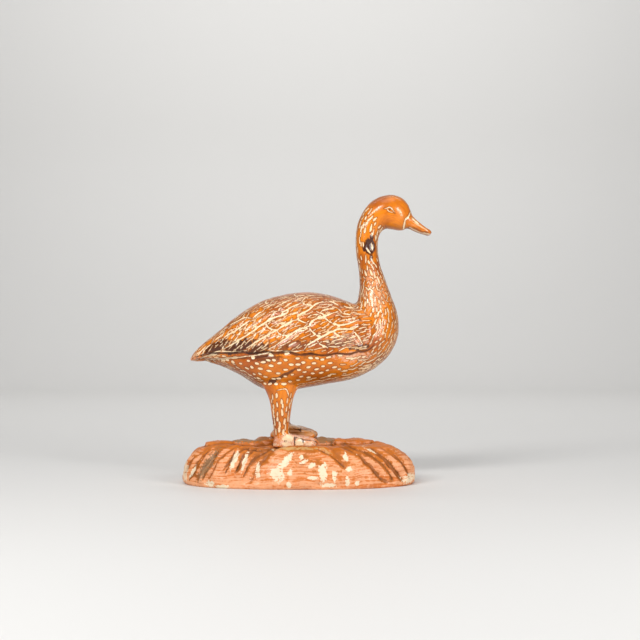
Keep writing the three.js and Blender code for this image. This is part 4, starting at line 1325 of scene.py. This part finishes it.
def carveStrokesTree():
    # cuts strokes into the surface, and stores for each point its stroke's half width and tone, how far
    # it lies from the stroke, and how far to one side of it, in millimetres
    tree, given, result = newTree("carveStrokes", [
        ("Strokes", "Object"), ("Prefix", "String"), ("Unevenness", "Float"), ("Puff", "Float"),
        ("Puff Reach", "Float"), ("Puffed By", "Object"), ("Finish", "Material")])
    lines = shapeOf(tree, given["Strokes"])
    near = nearestOn(tree, lines, "EDGES")
    index = put(tree, "GeometryNodeSampleNearest", {
        "Geometry": lines, "Sample Position": near["Position"]}, domain="POINT")
    look = lambda name, kind="FLOAT": put(tree, "GeometryNodeSampleIndex", {
        "Geometry": lines, "Value": named(tree, name, kind), "Index": index},
        data_type=kind, domain="POINT").outputs[0]
    distance, thick = near["Distance"], look("thick")
    position = put(tree, "GeometryNodeInputPosition").outputs[0]
    toPoint = calcVector(tree, "SUBTRACT", position, near["Position"])
    aside = put(tree, "ShaderNodeVectorMath", {0: toPoint, 1: look("across", "FLOAT_VECTOR")},
                operation="DOT_PRODUCT").outputs["Value"]
    inMillimetres = lambda value: calc(tree, "MULTIPLY", value, toMillimetres)
    facts = {"Reach": inMillimetres(distance), "Aside": inMillimetres(aside), "Half": inMillimetres(thick),
             "Tone": look("tone")}
    marked = given["Geometry"]
    for name, value in facts.items():
        # the attribute's name is the prefix and the fact's name, which are joined last link first
        label = put(tree, "GeometryNodeStringJoin", {"Delimiter": ""})
        tree.links.new(put(tree, "FunctionNodeInputString", string=name).outputs[0], label.inputs["Strings"])
        tree.links.new(given["Prefix"], label.inputs["Strings"])
        marked = store(tree, marked, label.outputs[0], value)
    relative = calc(tree, "DIVIDE", distance, calc(tree, "MAXIMUM", thick, carving["leastHalf"] * mm))
    depth = calc(tree, "MULTIPLY", look("sink"), smoothStep(tree, relative, *carving["cutSpan"]))
    # feathers swell between their outlines: the surface sinks towards each of them
    away = nearestOn(tree, shapeOf(tree, given["Puffed By"]), "EDGES")
    puff = calc(tree, "SUBTRACT", smoothStep(tree, away["Distance"], 0.0, given["Puff Reach"]), 1.0)
    puff = calc(tree, "MULTIPLY", puff, given["Puff"])
    wave = put(tree, "ShaderNodeTexNoise", {
        "Scale": carving["waveScale"], "Detail": 2.0, "Roughness": carving["waveRoughness"]}).outputs[0]
    wave = calc(tree, "MULTIPLY", calc(tree, "SUBTRACT", wave, 0.5), given["Unevenness"])
    out = calc(tree, "SUBTRACT", calc(tree, "ADD", wave, puff), depth)
    down = calcVector(tree, "SCALE", put(tree, "GeometryNodeInputNormal").outputs[0], out)
    carved = put(tree, "GeometryNodeSetPosition", {"Geometry": marked, "Offset": down})
    return endTree(tree, carved.outputs[0], given["Finish"], result)


def addNodes(thing, tree, values):
    # runs a tree on the thing, with its inputs found by their names
    modifier = thing.modifiers.new(tree.name, "NODES")
    modifier.node_group = tree
    for item in tree.interface.items_tree:
        if item.in_out == "INPUT" and item.name in values:
            modifier[item.identifier] = values[item.name]
    return modifier


scatterTree, layTree, carveTree = scatterStrokesTree(), layLinesTree(), carveStrokesTree()

# Feather edges on the folded wing, seen from the side: half width, then points (x, z), all in millimetres.
featherEdges = (
    (1.1, (-99, 185), (-90, 191), (-79, 197), (-63, 209)),
    (1.0, (-59, 212), (-53, 217), (-45, 222)),
    (1.0, (-91, 203), (-80, 208), (-70, 213), (-60, 212)),
    (1.3, (-95, 172), (-82, 180), (-66, 190), (-50, 201), (-35, 211), (-24, 215), (-16, 218), (-14, 222),
     (-23, 220)),
    (1.3, (-66, 174), (-53, 182), (-38, 191), (-28, 196), (-13, 206), (0, 210)),
    (1.2, (-2, 215), (12, 222), (18, 227), (23, 231), (31, 234)),
    (1.3, (-36, 173), (-23, 181), (-10, 191), (2, 198), (13, 201), (16, 206), (21, 210), (35, 215),
     (50, 221)),
    (1.3, (7, 171), (10, 176), (15, 180), (33, 190), (43, 195), (52, 198), (67, 198), (76, 202)),
    (1.0, (-21, 219), (-11, 225), (-3, 229), (4, 232)),
    (1.2, (-41, 205), (-39, 201), (-34, 198), (-27, 197)),
    (1.2, (-27, 195), (-23, 191), (-17, 190), (-10, 190)),
    (1.1, (-1, 217), (0, 211), (3, 208), (10, 206)),
    (1.3, (14, 200), (16, 196), (23, 190), (31, 188)),
    (1.2, (24, 183), (27, 179), (37, 174)),
    (1.2, (31, 216), (35, 211), (46, 204), (56, 203), (65, 206), (76, 210)),
    (1.0, (4, 234), (7, 230), (12, 229), (18, 228)),
    (1.0, (23, 221), (30, 218), (36, 215)),
    (1.1, (43, 195), (50, 190), (60, 187)),
    (1.1, (70, 196), (74, 190), (81, 179)),
    (1.0, (51, 224), (56, 219), (61, 217), (66, 217)),
    (1.0, (39, 234), (45, 232), (51, 229)),
    (1.0, (58, 228), (64, 226), (72, 226)),
    (0.9, (41, 181), (48, 184), (56, 186)),
    (0.8, (38, 176), (47, 175), (53, 176)),
    (0.8, (-13, 176), (-7, 180), (-2, 182)),
    (1.2, (-110, 167), (-100, 169), (-77, 168), (-66, 171)),
    (0.9, (-38, 172), (-29, 170), (-8, 169), (7, 171)),
    (1.2, (-127, 158), (-118, 162), (-105, 165)),
    (1.1, (-121, 156), (-103, 158), (-87, 160), (-68, 162), (-51, 165), (-28, 170)),
    (0.9, (-131, 161), (-126, 169), (-119, 177)),
    (0.8, (-124, 162), (-121, 171), (-113, 179)),
)

# Lines on the head and the bill, on both sides: lids, the ring round the bill's root, nostril, lower bill.
headLines = (
    (0.62, (109.4, 351.3), (112, 351.7), (115.1, 352.9), (117.7, 351.9), (120.2, 349.4), (122.3, 345.4)),
    (0.56, (112.6, 350), (114.5, 348.1), (116.8, 346.8), (120.2, 345.9)),
    (1.5, (143.8, 348.6), (142.3, 345.2), (139.7, 340.8), (136.5, 338.2), (135.2, 334.4), (134.6, 329.3),
     (134.6, 325)),
    (1.35, (145.4, 339.8), (149, 336), (153.4, 332.2)),
    (2.0, (142.6, 328), (147.6, 324.8), (152.5, 322.7), (159, 320.5), (164.9, 319), (168, 319)),
)
# Pale marks inside and round the knot in the neck, on the side that faces the viewer: the first two, inside
# it, are painted highlights in its hollow, the rest pale wood.
knotLines = (
    (1.2, (93.2, 307), (93.8, 303), (93.6, 298.8)),
    (1.0, (87.3, 300.6), (89.5, 296.5), (92.3, 294)),
    (0.9, (92.6, 287.4), (94.4, 283.2), (97.4, 279.6)),
    (0.9, (93.2, 320.6), (93.3, 315.4)),
    (0.8, (98, 317), (98.6, 310.5)),
    (0.9, (82, 308.7), (82.7, 302.6)),
)
# Dark lines: the mouth on both sides, and the cracks in both feet on the side that faces the viewer; the
# second of these is painted shadow in the gap where the near foot covers the far foot.
mouthLines = (
    (0.55, (144.2, 329.8), (150, 326.4), (155, 324.2), (160, 322.4), (165.5, 321.2), (169.6, 321.2)),
)
footCracks = (
    (1.1, (-5.7, 62), (-5.2, 54.5), (-5.2, 47.5)),
    # painted shadow in the gap where the near foot covers the far foot
    (0.9, (-4, 60.4), (1.7, 60), (6, 58.6), (10, 58), (14.4, 56.6)),
    (0.8, (6.4, 59), (6.2, 56.5), (5.9, 54)),
    (0.8, (17, 57.6), (21, 55), (24.6, 51.6)),
    (0.7, (-1.5, 73), (2.2, 69.5), (2.6, 66), (0.8, 63.4)),
    (0.6, (-9, 69), (-5, 67.6), (-1, 67)),
    (0.6, (4.5, 67.5), (9.5, 67), (14.5, 64.6), (18.5, 61.5)),
)

# The fold at the top of each thigh.
thighLines = (
    (0.85, (-27, 120.3), (-20, 121.8), (-14.8, 120.8), (-12.3, 112.5)),
)

# How each set of lines is cut: on which sides, how deep in millimetres, and in which tone of paint.
bothSides, nearSide = (-1, 1), (-1,)
lineSets = {
    "featherEdges": {"lines": featherEdges, "sides": bothSides, "depth": 0.7, "tone": 0.9},
    "headLines": {"lines": headLines, "sides": bothSides, "depth": 0.5, "tone": 0.8},
    "knotLines": {"lines": knotLines, "sides": nearSide, "depth": 0.3, "tone": 0.9},
    "thighLines": {"lines": thighLines, "sides": bothSides, "depth": 0.6, "tone": 0.7},
    "mouthLines": {"lines": mouthLines, "sides": bothSides, "depth": 0.9, "tone": 0.5},
    "footCracks": {"lines": footCracks, "sides": nearSide, "depth": 1.2, "tone": 0.5},
}

# One bed of strokes each: sizes in millimetres, turn in degrees.
strokeBeds = {
    "wingBed": {"spacing": 4.5, "length": 10.5, "lengthSpread": 0.45, "width": 0.47, "widthSpread": 0.35,
                "turn": 13, "bend": (-0.06, 0.06), "widest": 0.5, "taper": 0.6, "depth": 0.55,
                "clearance": 2, "seed": 3, "leastTone": 0.3},
    "backBed": {"spacing": 12.5, "length": 14, "lengthSpread": 0.15, "width": 0.7, "widthSpread": 0.2,
                "turn": 12, "bend": (0.30, 0.42), "widest": 0.5, "taper": 0.3, "depth": 0.45,
                "clearance": 5, "across": 1, "seed": 5, "leastTone": 0.4},
    "flankBed": {"spacing": 6.9, "length": 5.8, "lengthSpread": 0.25, "width": 1.4, "widthSpread": 0.2,
                 "turn": 10, "bend": (0, 0.03), "widest": 0.5, "taper": 0.5, "depth": 0.6,
                 "clearance": 1, "seed": 7, "leastTone": 0.75},
    "rumpBed": {"spacing": 4.5, "length": 6.5, "lengthSpread": 0.3, "width": 0.68, "widthSpread": 0.3,
                "turn": 9, "bend": (-0.04, 0.04), "widest": 0.4, "taper": 0.7, "depth": 0.45,
                "clearance": 2, "seed": 11, "leastTone": 0.3},
    "bellyBed": {"spacing": 5.2, "length": 7.5, "lengthSpread": 0.3, "width": 0.8, "widthSpread": 0.3,
                 "turn": 9, "bend": (-0.04, 0.04), "widest": 0.5, "taper": 0.6, "depth": 0.4,
                 "clearance": 1, "seed": 13, "leastTone": 0.3},
    "breastBed": {"spacing": 5.1, "length": 7.5, "lengthSpread": 0.35, "width": 0.85, "widthSpread": 0.35,
                  "turn": 18, "bend": (-0.06, 0.06), "widest": 0.35, "taper": 0.6, "depth": 0.5,
                  "clearance": 1, "seed": 17, "leastTone": 0.45},
    "lowNeckBed": {"spacing": 4.8, "length": 7, "lengthSpread": 0.45, "width": 0.62, "widthSpread": 0.35,
                   "turn": 55, "bend": (-0.14, 0.14), "widest": 0.4, "taper": 0.7, "depth": 0.55,
                   "clearance": 1, "seed": 19, "leastTone": 0.5},
    "neckBed": {"spacing": 5.7, "length": 8.2, "lengthSpread": 0.4, "width": 1.0, "widthSpread": 0.3,
                "turn": 14, "bend": (-0.07, 0.07), "widest": 0.35, "taper": 0.6, "depth": 0.55,
                "clearance": 1, "seed": 23, "leastTone": 0.6},
    "legBed": {"spacing": 5.8, "length": 7.6, "lengthSpread": 0.3, "width": 1.2, "widthSpread": 0.3,
               "turn": 8, "bend": (-0.05, 0.05), "widest": 0.4, "taper": 0.6, "depth": 0.6,
               "clearance": 1, "seed": 29, "leastTone": 0.6},
}


def drawnLines(name, lineSet, surface):
    # draws lines beside the surface, and lays them on it
    curve = bpy.data.curves.new(name, "CURVE")
    curve.dimensions = "3D"
    for half, *points in lineSet["lines"]:
        for side in lineSet["sides"]:
            spline = curve.splines.new("POLY")
            spline.points.add(len(points) - 1)
            for point, (x, z) in zip(spline.points, points):
                point.co = (x * mm, side * drawing["beside"] * mm, z * mm, 1)
                point.radius = half * mm
    thing = bpy.data.objects.new(name, curve)
    bpy.context.scene.collection.objects.link(thing)
    addNodes(thing, layTree, {
        "Surface": surface, "Step": drawing["step"] * mm, "Wander": drawing["wander"] * mm,
        "Depth": lineSet["depth"] * mm, "Tone": lineSet["tone"], "Finish": surface.active_material})
    mesh = evaluatedMesh(thing)
    bpy.data.objects.remove(thing)
    return looseObject(name, mesh)


def looseObject(name, mesh):
    thing = bpy.data.objects.new(name, mesh)
    bpy.context.scene.collection.objects.link(thing)
    return thing


def scatterIn(surface, bed, clearOf):
    # strokes in one bed, kept clear of the lines
    values = strokeBeds[bed]
    modifier = addNodes(surface, scatterTree, {
        "Bed": bed, "Spacing": values["spacing"] * mm, "Length": values["length"] * mm,
        "Length Spread": values["lengthSpread"], "Width": values["width"] * mm,
        "Width Spread": values["widthSpread"], "Turn": math.radians(values["turn"]),
        "Least Bend": float(values["bend"][0]), "Most Bend": float(values["bend"][1]),
        "Widest": values["widest"], "Taper": values["taper"], "Depth": values["depth"] * mm,
        "Across": float(values.get("across", 0)), "Clear Of": clearOf,
        "Clearance": values["clearance"] * mm, "Seed": values["seed"],
        "Least Tone": values["leastTone"], "Finish": surface.active_material})
    mesh = evaluatedMesh(surface)
    surface.modifiers.remove(modifier)
    print("  ", bed, len(mesh.vertices) // scattering["points"], "strokes")
    return looseObject(bed, mesh)


def joinLoose(name, things):
    # one loose mesh of all the strokes, with their attributes
    points, edges, facts = [], [], {"thick": [], "sink": [], "tone": [], "across": []}
    count = 0
    for thing in things:
        mesh = thing.data
        flat = np.empty(3 * len(mesh.vertices))
        mesh.vertices.foreach_get("co", flat)
        points.append(flat.reshape(-1, 3))
        edges.append(edgePairs(thing) + count)
        for key, values in facts.items():
            size = 3 if key == "across" else 1
            got = np.empty(size * len(mesh.vertices), np.float32)
            mesh.attributes[key].data.foreach_get("vector" if size == 3 else "value", got)
            values.append(got.reshape(-1, size) if size == 3 else got)
        count += len(mesh.vertices)
        bpy.data.objects.remove(thing)
    mesh = bpy.data.meshes.new(name)
    mesh.from_pydata(np.vstack(points), np.vstack(edges), [])
    joined = looseObject(name, mesh)
    for key, values in facts.items():
        keep(joined, key, np.concatenate(values))
    return joined


def dentKnot():
    points, normals = pointsOf(duck), normalsOf(duck)
    away = np.linalg.norm((points - knot["centre"]) / knot["size"], axis=1)
    rim = knot["rim"] * np.exp(-((away - knot["rimAt"]) / knot["rimWidth"]) ** 2)
    sink = knot["depth"] * ramp(away, *knot["sinkSpan"]) - rim
    movePoints(duck, points - normals * sink[:, None])


hollowRounds = 8


def hollowness(thing, rounds):
    # how deep each point lies under the smoothed surface, in millimetres
    points = pointsOf(thing)
    pairs = edgePairs(thing)
    smooth = points
    for _ in range(rounds):
        smooth = (smooth + neighbourMean(smooth, pairs)) / 2
    return np.sum((smooth - points) * normalsOf(thing), 1)


# How strongly triangles are kept, from 0 to 1: most within the first band beside a stroke, less in the next
# ones, least away from all strokes.
thinning = {"band": 1.7, "weights": (0.93, 0.71, 0.49), "away": 0.3, "strength": 0.6}


def thin(thing, most):
    # fewer triangles where nothing is carved
    triangles = sum(len(face.vertices) - 2 for face in thing.data.polygons)
    reach = np.empty(len(thing.data.vertices), np.float32)
    thing.data.attributes["strokeReach"].data.foreach_get("value", reach)
    kept = thing.vertex_groups.new(name="kept")
    kept.add(range(len(reach)), thinning["away"], "REPLACE")
    band = thinning["band"]
    for k, weight in enumerate(thinning["weights"]):
        near = np.nonzero((reach >= band * k) & (reach < band * (k + 1)))[0]
        kept.add(near.tolist(), weight, "REPLACE")
    decimate = thing.modifiers.new("thin", "DECIMATE")
    decimate.ratio = min(1, most / triangles)
    decimate.vertex_group = "kept"
    decimate.invert_vertex_group = True
    decimate.vertex_group_factor = thinning["strength"]
    toPlainMesh(thing)
    thing.vertex_groups.clear()


def carveLines(thing, lines, prefix, puffedBy=None, puff=0.0, unevenness=0.0):
    addNodes(thing, carveTree, {
        "Strokes": lines, "Prefix": prefix, "Unevenness": unevenness * mm, "Puff": puff * mm,
        "Puff Reach": duckForm["puffReach"] * mm, "Puffed By": puffedBy or lines,
        "Finish": thing.active_material})
    toPlainMesh(thing)


def carveDuck():
    dentKnot()
    paleNames = ("featherEdges", "headLines", "knotLines", "thighLines")
    pale = [drawnLines(name, lineSets[name], duck) for name in paleNames]
    edges = pale[0]
    pale += [scatterIn(duck, bed, edges) for bed in strokeBeds]
    wing = looseObject("wingEdges", edges.data.copy())
    strokes = joinLoose("paleStrokes", pale)
    dark = [drawnLines(name, lineSets[name], duck) for name in ("mouthLines", "footCracks")]
    cracksAndShade = joinLoose("darkLines", dark)
    carveLines(duck, strokes, "stroke", wing, duckForm["puff"], duckForm["unevenness"])
    carveLines(duck, cracksAndShade, "crack")
    for loose in (strokes, cracksAndShade, wing):
        bpy.data.objects.remove(loose)
    for name in strokeBeds:
        duck.data.attributes.remove(duck.data.attributes[name])
    thin(duck, duckForm["mostTriangles"])
    keep(duck, "hollow", hollowness(duck, hollowRounds))


carveDuck()
print("duck: carved,", len(duck.data.polygons), "faces")


# Sizes of the base's tool marks in millimetres, and the rounds of smoothing that find its gouges.
hewing = {
    "lumps": 5.6, "facets": 2.2, "facetSize": 13, "grain": 1.4, "rough": 0.8, "gougeRounds": 60,
    "lumpScale": 42.0, "facetMiddle": 0.45, "grainScale": (14.0, 14.0, 330.0), "roughScale": 420.0,
    "groundSpan": (0.5, 5),
}


def hewBaseTree():
    # lumps, flat facets and grain lines on the hewn mound, all along the surface's own normal
    tree, given, result = newTree("hewBase", [
        ("Lumps", "Float"), ("Facets", "Float"), ("Facet Size", "Float"), ("Grain", "Float"),
        ("Rough", "Float"), ("Finish", "Material")])
    position = put(tree, "GeometryNodeInputPosition").outputs[0]
    normal = put(tree, "GeometryNodeInputNormal").outputs[0]
    upward = put(tree, "ShaderNodeSeparateXYZ", {0: normal}).outputs[2]
    steep = calc(tree, "SUBTRACT", 1.0, calc(tree, "ABSOLUTE", upward))
    # the flat underside stays flat
    height = put(tree, "ShaderNodeSeparateXYZ", {0: position}).outputs[2]
    low, high = hewing["groundSpan"]
    offGround = smoothStep(tree, height, low * mm, high * mm)
    noise = lambda vector, scale, detail: calc(tree, "SUBTRACT", put(tree, "ShaderNodeTexNoise", {
        "Vector": vector, "Scale": scale, "Detail": detail}).outputs[0], 0.5)
    lumps = calc(tree, "MULTIPLY", noise(position, hewing["lumpScale"], 2.0), given["Lumps"])
    facetScale = calc(tree, "DIVIDE", 1.0, given["Facet Size"])
    facet = put(tree, "ShaderNodeTexVoronoi", {"Vector": position, "Scale": facetScale},
                feature="F1").outputs["Distance"]
    facets = calc(tree, "SUBTRACT", hewing["facetMiddle"], facet)
    facets = calc(tree, "MULTIPLY", facets, given["Facets"])
    stretched = calcVector(tree, "MULTIPLY", position, hewing["grainScale"])
    grain = calc(tree, "MULTIPLY", calc(tree, "MULTIPLY", noise(stretched, 1.0, 2.0), given["Grain"]), steep)
    rough = calc(tree, "MULTIPLY", noise(position, hewing["roughScale"], 2.0), given["Rough"])
    out = calc(tree, "ADD", calc(tree, "ADD", lumps, facets), calc(tree, "ADD", grain, rough))
    offset = calcVector(tree, "SCALE", normal, calc(tree, "MULTIPLY", out, offGround))
    moved = put(tree, "GeometryNodeSetPosition", {"Geometry": given["Geometry"], "Offset": offset})
    return endTree(tree, moved.outputs[0], given["Finish"], result)


# Dark lines down the folds in the front of the base, cut in, with painted shade along their middles, seen
# from
# the side: half width, then points (x, z), all in millimetres.
baseCracks = (
    (2.4, (-113, 46), (-118, 39), (-124, 31), (-130, 20), (-136, 9)),
    (2.0, (-100, 45), (-105, 35), (-109, 28), (-116, 18), (-120, 9)),
    (1.8, (-79, 47), (-83, 37), (-87, 27), (-91, 19)),
    (1.8, (-67, 44), (-71, 34), (-74, 27), (-77, 21)),
    (3.0, (-30, 50), (-47, 42), (-57, 34), (-63, 26), (-67, 16)),
    (1.8, (-76, 50), (-54, 47), (-36, 48)),
    (3.2, (62, 51), (86, 43), (101, 33), (111, 22), (118, 9)),
    (2.2, (92, 48), (110, 35), (123, 18), (132, 6)),
    (2.0, (114, 45), (126, 35), (137, 19), (141, 8)),
    (2.0, (22, 50), (36, 44), (48, 36), (57, 27)),
    (1.6, (-133, 36), (-139, 27), (-143, 16)),
)
baseCut = {"lines": baseCracks, "sides": nearSide, "depth": 2.3, "tone": 0.5}


def hewBase():
    keep(base, "gouge", hollowness(base, hewing["gougeRounds"]))
    addNodes(base, hewBaseTree(), {
        "Lumps": hewing["lumps"] * mm, "Facets": hewing["facets"] * mm,
        "Facet Size": hewing["facetSize"] * mm, "Grain": hewing["grain"] * mm,
        "Rough": hewing["rough"] * mm, "Finish": base.active_material})
    toPlainMesh(base)
    cracksAndShade = drawnLines("baseCracks", baseCut, base)
    carveLines(base, cracksAndShade, "crack")
    bpy.data.objects.remove(cracksAndShade)
    keep(base, "hollow", hollowness(base, hollowRounds))
    keep(base, "upward", normalsOf(base)[:, 2])


hewBase()
print("base: hewn")

for piece, node in ((duck, "duck"), (base, "rock_base")):
    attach(piece, "root")
    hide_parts(node)
